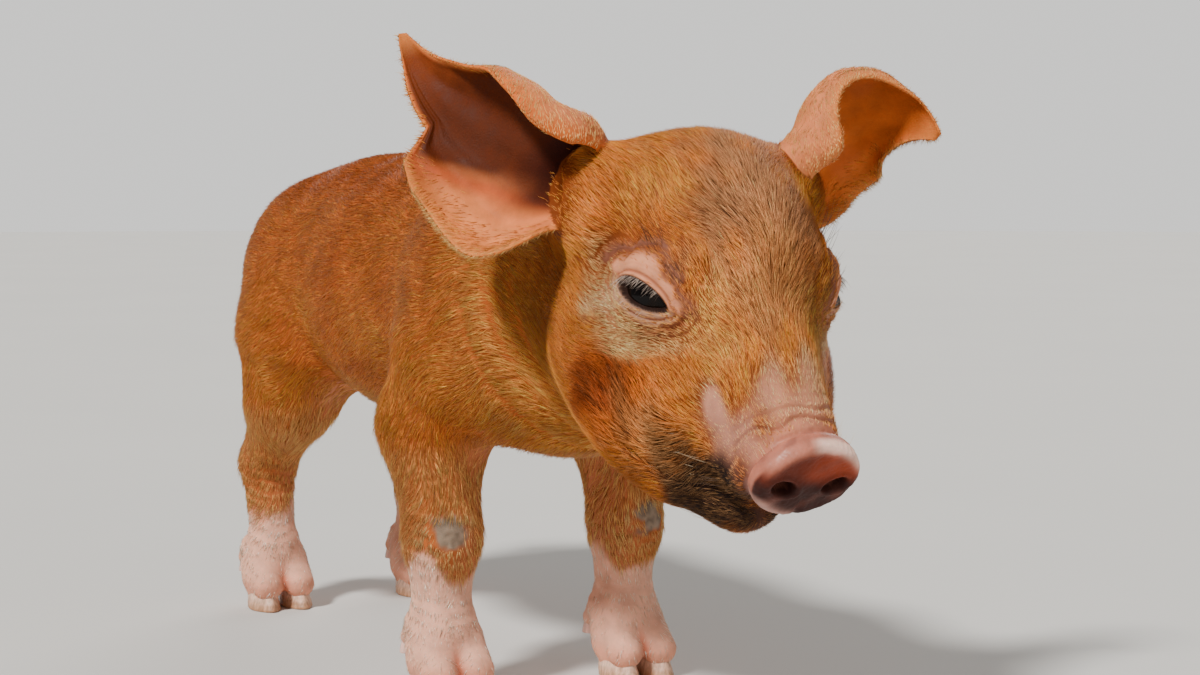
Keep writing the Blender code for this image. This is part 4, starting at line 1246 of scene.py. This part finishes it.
def tufts(roots, normals, ways, look, width, seed):
    """Closed, tapered tufts of four faces that rise a little from the skin and lie back along it."""
    rng = np.random.default_rng(seed)
    count = len(roots)
    long = look["length"] * rng.uniform(0.6, 1.2, count)
    ways = turned(ways, normals, np.radians(rng.normal(0.0, 8.0, count)))
    beside = np.cross(normals, ways)
    lift = np.tan(np.radians(look["lift"] * rng.uniform(0.3, 1.4, count)))
    half = width * rng.uniform(0.35, 0.65, count)
    base = roots - normals * ROOT_DEEP
    points = np.stack([
        base - beside * half[:, None],
        base + beside * half[:, None],
        base + normals * (half * 0.9)[:, None] - ways * (half * 0.6)[:, None],
        roots + ways * long[:, None] + normals * (long * lift)[:, None],
    ], axis=1)
    triangles = (TUFT_FACES + (np.arange(count) * 4)[:, None, None]).reshape(-1, 3)
    at_tip = np.array((0.0, 0.0, 0.0, 1.0))
    tone = np.exp(rng.normal(0.0, HAIR_TONES, count))
    # Painted shade at each root and painted highlight at each tip; pale hair is shaded less at its root
    root = HAIR_ROOT + (0.92 - HAIR_ROOT) * step(look["hair"][:, 1], 0.40, 0.65)
    shade = (root[:, None] * (1.0 - at_tip) + HAIR_TIP * at_tip) * tone[:, None]
    colour = look["hair"][:, None, :] * shade[:, :, None]
    pale = np.minimum(HAIR_PALE * look["bleach"] * rng.exponential(1.0, count), 0.75)
    colour = colour + (pale[:, None] * at_tip)[:, :, None] * (HAIR_STRAW - colour)
    patch = np.array(((-1, -1), (1, -1), (0, -1), (0, 1))) * MAP_PATCH / 2
    spots = np.clip(look["spots"][:, None, :] + patch, 0.001, 0.999)
    return points.reshape(-1, 3), triangles, colour.reshape(-1, 3), spots.reshape(-1, 2)


# The most triangles in one piece, and how far inside the solids' box all stays, in metres
PIECE_TRIANGLES, BOX_MARGIN = 190000, 0.0002


def boxed(points):
    """Points in the row frame, in metres, kept just inside the solids' box."""
    low, high = (np.array(corner) for corner in CAD_BOX)
    return np.clip((points + SHIFT) * MM, low + BOX_MARGIN, high - BOX_MARGIN)


def coat_pieces(name, chosen, width, seed):
    """Joined meshes of tufts rooted at the chosen places, each below the limit of triangles."""
    points, normals, ways, look = chosen
    order = np.argsort(points[:, 0], kind="stable")
    size = PIECE_TRIANGLES // 4
    made = []
    for number, start in enumerate(range(0, len(order), size)):
        rows = order[start:start + size]
        part = {key: value[rows] for key, value in look.items()}
        mesh = tufts(points[rows], normals[rows], ways[rows], part, width, seed + number)
        piece = mesh_from_arrays(f"{name}_{number + 1}", boxed(mesh[0]), mesh[1], mesh[2], mesh[3])
        smooth_shaded(piece)
        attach(piece, "root")
        made.append(piece)
    return made


def scatter(count, region, seed):
    """Roots spread over the skin by its area, the hair's share there and a region's weight."""
    mesh = SKIN["made"].data
    mesh.calc_loop_triangles()
    corners = read_rows(mesh.loop_triangles, "vertices", 3, np.int32)
    points, look, normals = SKIN["points"], SKIN["look"], SKIN["normals"]
    first, second, third = points[corners].transpose(1, 0, 2)
    area = np.linalg.norm(np.cross(second - first, third - first), axis=1) / 2
    weight = area * (look["share"] * region)[corners].mean(axis=1)
    rng = np.random.default_rng(seed)
    picks = np.searchsorted(np.cumsum(weight) / weight.sum(), rng.random(count))
    chosen = corners[np.minimum(picks, len(corners) - 1)]
    mix = rng.random((count, 2))
    over = mix.sum(axis=1) > 1
    mix[over] = 1 - mix[over]
    mix = np.concatenate([mix, 1 - mix.sum(axis=1, keepdims=True)], axis=1)

    def between(values):
        return np.einsum("ij,ij...->i...", mix, values[chosen])

    found = {key: between(look[key]) for key in ("hair", "length", "lift", "bleach")}
    roots, upright = between(points), unit(between(normals))
    ear_of = SKIN["ear_of"][chosen[np.arange(count), np.argmax(mix, axis=1)]]
    found["spots"] = coat_map(roots, ear_of, SKIN["ear"])
    return roots, upright, lie(roots, upright, ear_of, SKIN["ear"]), found


# Strands: lashes, brow hairs and whiskers
def strand(points, thick, sides=4):
    """A thin closed tapering tube along a few points."""
    count = len(points)
    way = unit(np.gradient(points, axis=0))
    aside = unit(np.cross(way, np.array((0.31, 0.52, 0.79))))
    other = np.cross(way, aside)
    angles = np.arange(sides) * 2 * math.pi / sides
    round_way = np.cos(angles)[:, None] * aside[:-1, None] + np.sin(angles)[:, None] * other[:-1, None]
    girth = thick / 2 * (1.0 - np.linspace(0, 1, count) ** 1.5 * 0.9)
    rings = points[:-1, None] + girth[:-1, None, None] * round_way
    faces = []
    for start in range(0, (count - 2) * sides, sides):
        for k in range(sides):
            here, there = start + k, start + (k + 1) % sides
            faces += [(here, there, there + sides), (here, there + sides, here + sides)]
    last, tip = (count - 2) * sides, (count - 1) * sides
    faces += [(last + k, last + (k + 1) % sides, tip) for k in range(sides)]
    faces += [(0, k + 1, k) for k in range(1, sides - 1)]
    return np.concatenate([rings.reshape(-1, 3), points[-1:]]), np.array(faces)


def strands_piece(name, all_points, thickness, colours):
    vertices, faces, tints, start = [], [], [], 0
    for points, thick, colour in zip(all_points, thickness, colours):
        place, face = strand(points, thick)
        vertices.append(place)
        faces.append(face + start)
        tints.append(np.tile(colour, (len(place), 1)))
        start += len(place)
    vertices, faces, tints = (np.concatenate(rows) for rows in (vertices, faces, tints))
    piece = mesh_from_arrays(name, boxed(vertices), faces, tints)
    smooth_shaded(piece)
    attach(piece, "root")
    return piece


def curved(root, way, droop, long):
    """Points along a hair that leaves its root one way and bends towards another."""
    shares = np.linspace(0, 1, HAIR_POINTS)[:, None]
    return root + np.asarray(way) * shares * long + np.asarray(droop) * shares ** 2 * long


def lid_point(sign, along, out, upper, radius):
    """A place on the lids from its share along the opening and its distance outwards."""
    axes = eye_axes(sign)
    share = min(1.0, abs(along) / EYE_LONG)
    edge = (EYE_ABOVE if upper else -EYE_BELOW) * (1.0 - share * share) ** 0.65
    across = edge + (out if upper else -out)
    depth = math.sqrt(max(radius ** 2 - along ** 2 - across ** 2, 1.0))
    return eye_centre(sign) + depth * axes[0] + along * axes[1] + across * axes[2], axes


# How far the lashes' roots lie outside the eyeball, points along a long hair, and the share of pale lashes
LASH_OUT, HAIR_POINTS, PALE_SHARE = 1.6, 7, 0.62
LASH_PALE, LASH_DARK, LASH_BELOW = (0.62, 0.50, 0.42), (0.10, 0.07, 0.06), (0.70, 0.58, 0.48)


def make_lashes(count, seed):
    rng = np.random.default_rng(seed)
    for side, sign in SIDES:
        lines, thick, colours = [], [], []
        for number in range(count):
            share = (number + rng.uniform(-0.4, 0.4)) / count
            out = 0.35 + rng.uniform(-0.15, 0.35)
            root, axes = lid_point(sign, -9.6 + 16.0 * share, out, True, EYE_RADIUS + LASH_OUT)
            way = 0.75 * axes[0] - (0.55 - 0.25 * share) * axes[2] + rng.normal(0, 0.10, 3)
            way = way + (-0.30 + 0.30 * share) * axes[1]
            droop = -0.55 * axes[2] + 0.12 * rng.normal(0, 1.0, 3)
            lines.append(curved(root, way, droop, (5.6 - 2.2 * share) * rng.uniform(0.7, 1.15)))
            thick.append(rng.uniform(0.12, 0.19))
            colours.append(LASH_PALE if rng.random() < PALE_SHARE else LASH_DARK)
        for _ in range(count // 3):
            root, axes = lid_point(sign, rng.uniform(-8.5, 5.0), 0.5, False, EYE_RADIUS + LASH_OUT)
            way = 0.6 * axes[0] - 0.8 * axes[2] + rng.normal(0, 0.15, 3)
            lines.append(curved(root, way, 0.3 * axes[0], rng.uniform(1.8, 3.0)))
            thick.append(0.12)
            colours.append(LASH_BELOW)
        strands_piece(f"lashes_{side}", lines, thick, colours)


# Long hairs: two rows on the brow, dark and pale ones on the lip, and those of the chin and the muzzle. Each:
# place in the head frame, spread, way, droop, length, count, thickness and colour
BRISTLES = (
    ((-12, 33, 14), (5, 4, 2), (-0.55, 0.55, 0.75), (-0.5, 0.1, -0.1), 10, 14, 0.15, (0.07, 0.04, 0.03)),
    ((2, 30, 15), (5, 3, 1.5), (-0.35, 0.60, 0.70), (-0.5, 0.2, -0.1), 7, 12, 0.14, (0.10, 0.05, 0.035)),
    ((54, 20, -24), (9, 3, 4), (-0.35, 0.75, -0.50), (-0.6, 0.1, -0.5), 9, 34, 0.15, (0.10, 0.06, 0.04)),
    ((46, 26, -24), (13, 3, 6), (-0.45, 0.70, -0.50), (-0.6, 0.1, -0.4), 9, 22, 0.10, (0.78, 0.60, 0.40)),
    ((48, 10, -50), (13, 8, 2), (-0.45, 0.25, -0.80), (-0.7, 0.0, -0.1), 10, 30, 0.12, (0.86, 0.56, 0.28)),
    ((60, 12, 4), (5, 5, 5), (-0.55, 0.45, 0.55), (-0.3, 0.1, -0.2), 4, 34, 0.10, (0.90, 0.64, 0.36)),
)


def make_bristles(seed):
    rng = np.random.default_rng(seed)
    for side, sign in SIDES:
        lines, thick, colours = [], [], []
        for place, spread, way, droop, long, count, wide, colour in BRISTLES:
            places = np.array(place) + rng.uniform(-1, 1, (count, 3)) * spread
            places[:, 1] *= sign
            roots = HEAD_ORIGIN + places @ HEAD
            for _ in range(3):
                normal = slope(roots)
                roots = roots - (flesh(roots) + 0.6)[:, None] * normal
            mirror = np.array((1.0, sign, 1.0))
            for root in roots:
                one = (np.array(way) * mirror + rng.normal(0, 0.14, 3)) @ HEAD
                bend = (np.array(droop) * mirror) @ HEAD * rng.uniform(0.5, 1.2)
                lines.append(curved(root, one, bend, long * rng.uniform(0.6, 1.15)))
                thick.append(wide * rng.uniform(0.8, 1.2))
                colours.append(np.array(colour) * rng.uniform(0.75, 1.25))
        strands_piece(f"bristles_{side}", lines, thick, colours)


# Eyes
EYE_COLOURS = {
    "white": (0.012, 0.006, 0.004), "rim": (0.006, 0.003, 0.002), "iris": (0.010, 0.0045, 0.0025),
    "pupil": (0.004, 0.003, 0.003),
}


def make_eye(side, sign):
    """An eyeball with a swelling cornea, seen through the lids."""
    axes = eye_axes(sign)
    made = sphere_mesh(f"eyeball_{side}", (0, 0, 0), (1, 1, 1), around=96, rings=64)
    local = coordinates(made.data)
    ahead, along, across = local[:, 2], local[:, 0], local[:, 1]
    off = np.hypot(along, across)
    cornea = 1.0 + 0.045 * step(off, 0.66, 0.30) * (ahead > 0)
    local = local * cornea[:, None] * (EYE_RADIUS - 0.15)
    place = eye_centre(sign) + local[:, 2:3] * axes[0] + local[:, 0:1] * axes[1] + local[:, 1:2] * axes[2]
    set_coordinates(made.data, place + SHIFT)
    angle = np.arctan2(across, along)
    streaks = 0.75 + 0.25 * np.sin(angle * 41.0 + 2.0 * np.sin(angle * 7.0))
    colour = np.tile(EYE_COLOURS["white"], (len(off), 1))
    colour = mixed(colour, step(off, 0.78, 0.62), EYE_COLOURS["rim"])
    colour = mixed(colour, step(off, 0.60, 0.50), np.outer(streaks, EYE_COLOURS["iris"]))
    colour = mixed(colour, step(np.hypot(along * 0.8, across * 1.15), 0.30, 0.25), EYE_COLOURS["pupil"])
    colour[ahead < 0] = EYE_COLOURS["white"]
    colour_mesh(made.data, colour)
    made.data.shade_smooth()
    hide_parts(f"eye_{side}")
    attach(made, "root")
    return made


# Claws
def make_claw(node):
    """One horn shoe inside its solid's box: a blunt wall that slopes back from a flat, worn sole."""
    low, high = (np.array(corner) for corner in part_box(node))
    middle, half = (low + high) / 2, (high - low) / 2
    slant, forward = (-0.1, 0.0) if node.startswith("dewclaw") else (0.34, 0.03)
    shape = bmesh.new()
    bmesh.ops.create_cone(shape, cap_ends=True, segments=56, radius1=1.0, radius2=1.0, depth=2.0)
    upright = [edge for edge in shape.edges if abs(edge.verts[0].co.z - edge.verts[1].co.z) > 1]
    bmesh.ops.subdivide_edges(shape, edges=upright, cuts=18)
    for vertex in shape.verts:
        angle = math.atan2(vertex.co.y, vertex.co.x)
        tall = (vertex.co.z + 1.0) / 2
        slim = 1.0 - 0.30 * max(math.cos(angle), 0.0) ** 1.5
        wide = 1.0 - 0.16 * tall - 0.10 * (1.0 - math.cos(tall * math.pi / 2))
        wide *= 1.0 - 0.06 * math.exp(-tall / 0.05) + 0.010 * math.sin(tall * 30.0) * (0 < tall < 1)
        heel = 0.80 + 0.20 * math.cos(angle) * (0.5 + 0.5 * tall)
        vertex.co = half * (
            (math.cos(angle) * wide - slant * tall + forward) * 0.96,
            math.sin(angle) * slim * wide * 0.97,
            2 * tall * heel * 0.98 - 1.0,
        )
    bmesh.ops.translate(shape, vec=Vector(middle), verts=shape.verts)
    bmesh.ops.triangulate(shape, faces=shape.faces)
    made = from_bmesh(f"horn_{node}", shape)
    made.data.shade_smooth()
    made.data.set_sharp_from_angle(angle=math.radians(50))
    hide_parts(node)
    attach(made, "root")
    return made


# Shader node groups
def set_inputs(tree, node, **inputs):
    """Sets each named input of a node to a value, or links it where a socket is given."""
    for label, value in inputs.items():
        socket = node.inputs[label.replace("_", " ")]
        if isinstance(value, bpy.types.NodeSocket):
            tree.links.new(value, socket)
        else:
            socket.default_value = value


def new_node(tree, kind, **inputs):
    """A node with its named inputs set or linked."""
    node = tree.nodes.new(kind)
    set_inputs(tree, node, **inputs)
    return node


def new_group(name, inputs, outputs):
    """A shader group with float inputs, given with their defaults, and named float outputs."""
    group = bpy.data.node_groups.new(name, "ShaderNodeTree")
    for label, default in inputs.items():
        socket = group.interface.new_socket(label, in_out="INPUT", socket_type="NodeSocketFloat")
        socket.default_value = default
    for label in outputs:
        group.interface.new_socket(label, in_out="OUTPUT", socket_type="NodeSocketFloat")
    return group, group.nodes.new("NodeGroupInput").outputs, group.nodes.new("NodeGroupOutput")


def fine_mottle_group():
    """Two sizes of soft unevenness: a share for colours and a height for a bump."""
    sizes = {"Coarse": 120.0, "Fine": 900.0, "Balance": 0.5}
    group, given, out = new_group("fine_mottle", sizes, ("Mottle", "Height"))
    place = new_node(group, "ShaderNodeTexCoord").outputs["Object"]
    coarse, fine = (
        new_node(group, "ShaderNodeTexNoise", Detail=3.0, Vector=place, Scale=given[label]).outputs["Fac"]
        for label in ("Coarse", "Fine")
    )
    mix = new_node(group, "ShaderNodeMix", Factor=given["Balance"], A=coarse, B=fine)
    set_inputs(group, out, Mottle=coarse, Height=mix.outputs["Result"])
    return group


def creases_group():
    """The net of fine lines that bare skin shows, as a height."""
    group, given, out = new_group("skin_creases", {"Size": 1100.0}, ("Height",))
    place = new_node(group, "ShaderNodeTexCoord").outputs["Object"]
    cells = new_node(group, "ShaderNodeTexVoronoi")
    cells.feature = "DISTANCE_TO_EDGE"
    set_inputs(group, cells, Vector=place, Scale=given["Size"])
    set_inputs(group, out, Height=cells.outputs["Distance"])
    return group


GROUPS = {}


def group_node(tree, name, **values):
    """The outputs of a shared group."""
    node = tree.nodes.new("ShaderNodeGroup")
    node.node_tree = GROUPS[name]
    set_inputs(tree, node, **values)
    return node.outputs


def new_material(name, **inputs):
    """A material, its nodes, and its shader with some inputs set."""
    made = bpy.data.materials.new(name)
    made.use_nodes = True
    shader = made.node_tree.nodes["Principled BSDF"]
    set_inputs(made.node_tree, shader, **inputs)
    return made, made.node_tree, shader


def toned(tree, colour, amount, share):
    """A colour made lighter and darker by a share of 0 to 1, by up to the amount either way."""
    scale = tree.nodes.new("ShaderNodeVectorMath")
    scale.operation = "SCALE"
    set_inputs(tree, scale, Vector=colour, Scale=ranged(tree, share, 1.0 - amount, 1.0 + amount))
    return scale.outputs["Vector"]


def tint_outputs(tree):
    """The colour and the wetness that each vertex carries."""
    tint = tree.nodes.new("ShaderNodeAttribute")
    tint.attribute_name = "tint"
    return tint.outputs


def ranged(tree, value, low, high):
    """A value of about 0.3 to 0.7 spread from low to high."""
    limits = {"From_Min": 0.3, "From_Max": 0.7, "To_Min": low, "To_Max": high}
    return new_node(tree, "ShaderNodeMapRange", Value=value, **limits).outputs["Result"]


def bumped(tree, shader, height, distance, strength, **before):
    """Gives a shader the normals of a bump, which may stand on another one's."""
    bump = new_node(tree, "ShaderNodeBump", Height=height, Distance=distance, Strength=strength, **before)
    set_inputs(tree, shader, Normal=bump.outputs["Normal"])
    return bump.outputs["Normal"]


def skin_material():
    made, tree, shader = new_material(
        "piglet_skin", Subsurface_Weight=0.15, Subsurface_Scale=0.003, Subsurface_Radius=(1.0, 0.35, 0.2),
        Specular_IOR_Level=0.08, Coat_Roughness=0.34,
    )
    tint = tint_outputs(tree)
    mottle = group_node(tree, "fine_mottle", Coarse=160.0, Fine=1500.0, Balance=0.55)
    creases = group_node(tree, "skin_creases", Size=900.0)
    colour = toned(tree, tint["Color"], 0.16, mottle["Mottle"])
    rough = ranged(tree, mottle["Mottle"], 0.48, 0.72)
    set_inputs(tree, shader, Base_Color=colour, Roughness=rough, Coat_Weight=tint["Alpha"])
    first = bumped(tree, shader, mottle["Height"], 0.0004, 0.55)
    bumped(tree, shader, creases["Height"], 0.00025, 0.35, Normal=first)
    return made


def hair_material():
    made, tree, shader = new_material("ginger_hair", Specular_IOR_Level=0.12)
    mottle = group_node(tree, "fine_mottle", Coarse=70.0, Fine=600.0, Balance=0.5)
    colour = toned(tree, tint_outputs(tree)["Color"], 0.14, mottle["Mottle"])
    set_inputs(tree, shader, Base_Color=colour, Roughness=ranged(tree, mottle["Height"], 0.42, 0.60))
    return made


def eye_material():
    made, tree, shader = new_material(
        "wet_eye", Roughness=0.10, Coat_Weight=0.18, Coat_Roughness=0.02, Specular_IOR_Level=0.05,
    )
    mottle = group_node(tree, "fine_mottle", Coarse=500.0, Fine=1800.0, Balance=0.5)
    set_inputs(tree, shader, Base_Color=toned(tree, tint_outputs(tree)["Color"], 0.25, mottle["Mottle"]))
    return made


def horn_material(settings):
    """Claw horn: pale, streaked up and down, rust brown towards the sole."""
    made, tree, shader = new_material("claw_horn", Subsurface_Weight=0.15, Subsurface_Scale=0.002)
    place = new_node(tree, "ShaderNodeTexCoord").outputs["Object"]
    stretch = new_node(tree, "ShaderNodeMapping", Scale=(1.0, 1.0, 0.12), Vector=place)
    noise = new_node(tree, "ShaderNodeTexNoise", Scale=900.0, Detail=4.0, Vector=stretch.outputs["Vector"])
    streak = noise.outputs["Fac"]
    apart = new_node(tree, "ShaderNodeSeparateXYZ", Vector=place)
    wobble = tree.nodes.new("ShaderNodeMath")
    wobble.operation = "MULTIPLY_ADD"
    tree.links.new(streak, wobble.inputs[0])
    wobble.inputs[1].default_value = 0.004
    tree.links.new(apart.outputs["Z"], wobble.inputs[2])
    ramp = new_node(tree, "ShaderNodeValToRGB", Fac=wobble.outputs["Value"])
    stops = ((0.0025, settings.claw_worn), (0.0060, settings.claw_pale), (0.014, (0.80, 0.50, 0.42)))
    ramp.color_ramp.elements.new(stops[-1][0])
    for element, (height, colour) in zip(ramp.color_ramp.elements, stops):
        element.position = height
        element.color = (*colour, 1.0)
    colour = toned(tree, ramp.outputs["Color"], 0.25, streak)
    set_inputs(tree, shader, Base_Color=colour, Roughness=ranged(tree, streak, 0.35, 0.60))
    mottle = group_node(tree, "fine_mottle", Coarse=300.0, Fine=1500.0, Balance=0.5)
    first = bumped(tree, shader, streak, 0.0003, 0.5)
    bumped(tree, shader, mottle["Height"], 0.0002, 0.3, Normal=first)
    return made


def stage_material(settings):
    made, tree, shader = new_material("plain_floor", Roughness=0.85)
    mottle = group_node(tree, "fine_mottle", Coarse=3.0, Fine=40.0, Balance=0.5)
    plain = tree.nodes.new("ShaderNodeRGB").outputs[0]
    plain.default_value = (*settings.floor_colour, 1.0)
    set_inputs(tree, shader, Base_Color=toned(tree, plain, 0.015, mottle["Mottle"]))
    return made


def dressed(made, material):
    made.data.materials.clear()
    made.data.materials.append(material)


# Settings that a user would change
class PigSettings(bpy.types.PropertyGroup):
    """Sizes, counts and colours of the dressed pig."""

    face_hairs: IntProperty(
        name="Face hairs", description="Short hairs on the head and ears", default=140000, min=1000
    )
    trunk_hairs: IntProperty(
        name="Trunk hairs", description="Hairs on the neck, trunk, legs and tail", default=210000, min=1000
    )
    face_hair_width: FloatProperty(
        name="Face hair width", description="Width of a face hair, in millimetres", default=0.26, min=0.05
    )
    trunk_hair_width: FloatProperty(
        name="Trunk hair width", description="Width of a trunk hair, in millimetres", default=0.36, min=0.05
    )
    lashes: IntProperty(name="Lashes", description="Hairs on each upper lid", default=62, min=0)
    claw_worn: FloatVectorProperty(
        name="Worn horn", description="Colour of a claw at its sole", size=3, subtype="COLOR",
        default=(0.36, 0.15, 0.055),
    )
    claw_pale: FloatVectorProperty(
        name="Pale horn", description="Colour of a claw's wall", size=3, subtype="COLOR",
        default=(0.72, 0.47, 0.33),
    )
    floor_colour: FloatVectorProperty(
        name="Floor", description="Colour of the plain floor", size=3, subtype="COLOR",
        default=(0.62, 0.615, 0.60),
    )
    backdrop: FloatProperty(
        name="Backdrop", description="Brightness behind the floor's edge", default=1.62, min=0.0
    )
    key_strength: FloatProperty(
        name="Key light", description="Strength of the main soft light", default=4.5, min=0.0
    )


# Camera: the photograph's viewing angle on the middle of the eyes
VIEW_AZIMUTH, VIEW_ELEVATION = 61.7, 4.0
VIEW_DISTANCE, VIEW_FOCAL_PIXELS, FRAME_WIDE, FRAME_HIGH = 0.70, 2135.0, 1200.0, 675.0
EYES_PIXEL = (734.5, 296.0)
SENSOR = 36.0


def make_camera():
    data = bpy.data.cameras.new("camera")
    camera = link("camera", data)
    data.sensor_width = SENSOR
    data.lens = VIEW_FOCAL_PIXELS / FRAME_WIDE * SENSOR
    data.clip_start = 0.02
    azimuth, elevation = math.radians(VIEW_AZIMUTH), math.radians(VIEW_ELEVATION)
    level = math.cos(elevation)
    back = Vector((math.sin(azimuth) * level, -math.cos(azimuth) * level, math.sin(elevation)))
    turn = (-back).to_track_quat("-Z", "Y").to_matrix()
    aside = (EYES_PIXEL[0] - FRAME_WIDE / 2) / VIEW_FOCAL_PIXELS * VIEW_DISTANCE
    above = (FRAME_HIGH / 2 - EYES_PIXEL[1]) / VIEW_FOCAL_PIXELS * VIEW_DISTANCE
    eyes = Vector((HEAD_ORIGIN + SHIFT) * MM)
    place = eyes + back * VIEW_DISTANCE - turn.col[0] * aside - turn.col[1] * above
    camera.matrix_world = Matrix.Translation(place) @ turn.to_4x4()
    bpy.context.scene.camera = camera


# Lights: the way to each light, the angle it fills in degrees, its share of the main strength, and its colour
LIGHTS = (
    ("key", (0.26, -0.62, 0.74), 9.0, 1.00, (1.0, 0.97, 0.92)),
    ("fill", (0.95, 0.25, 0.22), 70.0, 0.12, (1.0, 0.98, 0.95)),
    ("back", (-0.62, 0.55, 0.56), 40.0, 0.30, (1.0, 0.98, 0.94)),
)
ROOM_LIGHT = 0.22


def make_light(name, way, angle, share, colour, strength):
    data = bpy.data.lights.new(name, "SUN")
    data.angle = math.radians(angle)
    data.energy = strength * share
    data.color = colour
    light = link(name, data)
    light.rotation_euler = Vector(way).to_track_quat("Z", "Y").to_euler()


def make_world(settings):
    """An even, dim room for light, seen by the camera as the floor's own tone."""
    world = bpy.data.worlds.new("soft_room")
    bpy.context.scene.world = world
    world.use_nodes = True
    tree = world.node_tree
    room = tree.nodes["Background"]
    set_inputs(tree, room, Color=(1.0, 0.975, 0.94, 1.0), Strength=ROOM_LIGHT)
    tone = (*settings.floor_colour, 1.0)
    wall = new_node(tree, "ShaderNodeBackground", Color=tone, Strength=settings.backdrop)
    seen = new_node(tree, "ShaderNodeLightPath")
    mix = new_node(tree, "ShaderNodeMixShader", Fac=seen.outputs["Is Camera Ray"])
    tree.links.new(room.outputs["Background"], mix.inputs[1])
    tree.links.new(wall.outputs["Background"], mix.inputs[2])
    set_inputs(tree, tree.nodes["World Output"], Surface=mix.outputs["Shader"])


# Operators
class PIG_OT_finishes(bpy.types.Operator):
    """Build the shared shader groups"""

    bl_idname = "pig.finishes"
    bl_label = "Shared finishes"

    def execute(self, context):
        GROUPS["fine_mottle"] = fine_mottle_group()
        GROUPS["skin_creases"] = creases_group()
        return {"FINISHED"}


FLESH_NODES = ("head", "snout", "neck", "torso", "tail")
SIDE_NODES = ("ear", "foreleg", "hindleg")


class PIG_OT_skin(bpy.types.Operator):
    """Grow one skin over the whole body, with ears, tail, lids, snout and mouth"""

    bl_idname = "pig.skin"
    bl_label = "Skin"

    def execute(self, context):
        skin = make_skin()
        SKIN["normals"] = normals_of(skin.data)
        points = coordinates(skin.data) - SHIFT
        SKIN["points"] = points
        SKIN["look"] = plan(points, SKIN["ear_of"], SKIN["ear"])
        set_coordinates(skin.data, boxed(points) / MM)
        colour_mesh(skin.data, SKIN["look"]["skin"], SKIN["look"]["wet"])
        dressed(skin, skin_material())
        flesh_nodes = list(FLESH_NODES) + [f"{node}_{side}" for node in SIDE_NODES for side, _ in SIDES]
        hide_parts(*flesh_nodes)
        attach(skin, "root")
        return {"FINISHED"}


class PIG_OT_coat(bpy.types.Operator):
    """Grow the short ginger hair over the skin"""

    bl_idname = "pig.coat"
    bl_label = "Coat"

    def execute(self, context):
        settings = context.scene.pig
        points = SKIN["points"]
        front = step(points[:, 0], -78, -52)
        hair = hair_material()
        face = scatter(settings.face_hairs, front, 101)
        pieces = coat_pieces("face_hair", face, settings.face_hair_width, 201)
        trunk = scatter(settings.trunk_hairs, 1.0 - front, 102)
        pieces += coat_pieces("body_hair", trunk, settings.trunk_hair_width, 301)
        for piece in pieces:
            dressed(piece, hair)
        return {"FINISHED"}


class PIG_OT_bristles(bpy.types.Operator):
    """Add the lashes, brow hairs and whiskers"""

    bl_idname = "pig.bristles"
    bl_label = "Lashes and whiskers"

    def execute(self, context):
        make_lashes(context.scene.pig.lashes, 401)
        make_bristles(402)
        hair = bpy.data.materials["ginger_hair"]
        for side, _ in SIDES:
            dressed(bpy.data.objects[f"lashes_{side}"], hair)
            dressed(bpy.data.objects[f"bristles_{side}"], hair)
        return {"FINISHED"}


class PIG_OT_eyes(bpy.types.Operator):
    """Set the wet, dark eyes behind their lids"""

    bl_idname = "pig.eyes"
    bl_label = "Eyes"

    def execute(self, context):
        wet = eye_material()
        for side, sign in SIDES:
            dressed(make_eye(side, sign), wet)
        return {"FINISHED"}


class PIG_OT_claws(bpy.types.Operator):
    """Shape the claws and dewclaws"""

    bl_idname = "pig.claws"
    bl_label = "Claws"

    def execute(self, context):
        horn = horn_material(context.scene.pig)
        for node in sorted(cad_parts):
            if node.startswith(("claw_", "dewclaw_")):
                dressed(make_claw(node), horn)
        return {"FINISHED"}


class PIG_OT_stage(bpy.types.Operator):
    """Lay the plain floor and set the soft lights and the camera"""

    bl_idname = "pig.stage"
    bl_label = "Stage"

    def execute(self, context):
        settings = context.scene.pig
        bpy.ops.mesh.primitive_circle_add(vertices=96, radius=9.0, fill_type="NGON")
        floor = context.object
        floor.name = "floor"
        floor.location.z = -0.0002
        dressed(floor, stage_material(settings))
        for light in LIGHTS:
            make_light(*light, settings.key_strength)
        make_world(settings)
        make_camera()
        return {"FINISHED"}


class PIG_PT_panel(bpy.types.Panel):
    """Lists the pig's pieces and settings in the sidebar"""

    bl_idname = "PIG_PT_panel"
    bl_label = "Young red pig"
    bl_space_type = "VIEW_3D"
    bl_region_type = "UI"
    bl_category = "Pig"

    def draw(self, context):
        layout = self.layout
        for name in PigSettings.__annotations__:
            layout.prop(context.scene.pig, name)
        for operator in OPERATORS:
            layout.operator(operator.bl_idname)


OPERATORS = (
    PIG_OT_finishes, PIG_OT_skin, PIG_OT_coat, PIG_OT_bristles, PIG_OT_eyes, PIG_OT_claws, PIG_OT_stage,
)
CLASSES = (PigSettings, *OPERATORS, PIG_PT_panel)


def register():
    for one in CLASSES:
        bpy.utils.register_class(one)
    bpy.types.Scene.pig = PointerProperty(type=PigSettings)


def unregister():
    del bpy.types.Scene.pig
    for one in reversed(CLASSES):
        bpy.utils.unregister_class(one)


def main():
    register()
    for operator in OPERATORS:
        group, name = operator.bl_idname.split(".")
        result = getattr(getattr(bpy.ops, group), name)()
        if result != {"FINISHED"}:
            raise RuntimeError(f"{operator.bl_label} did not finish")


if __name__ == "__main__":
    main()
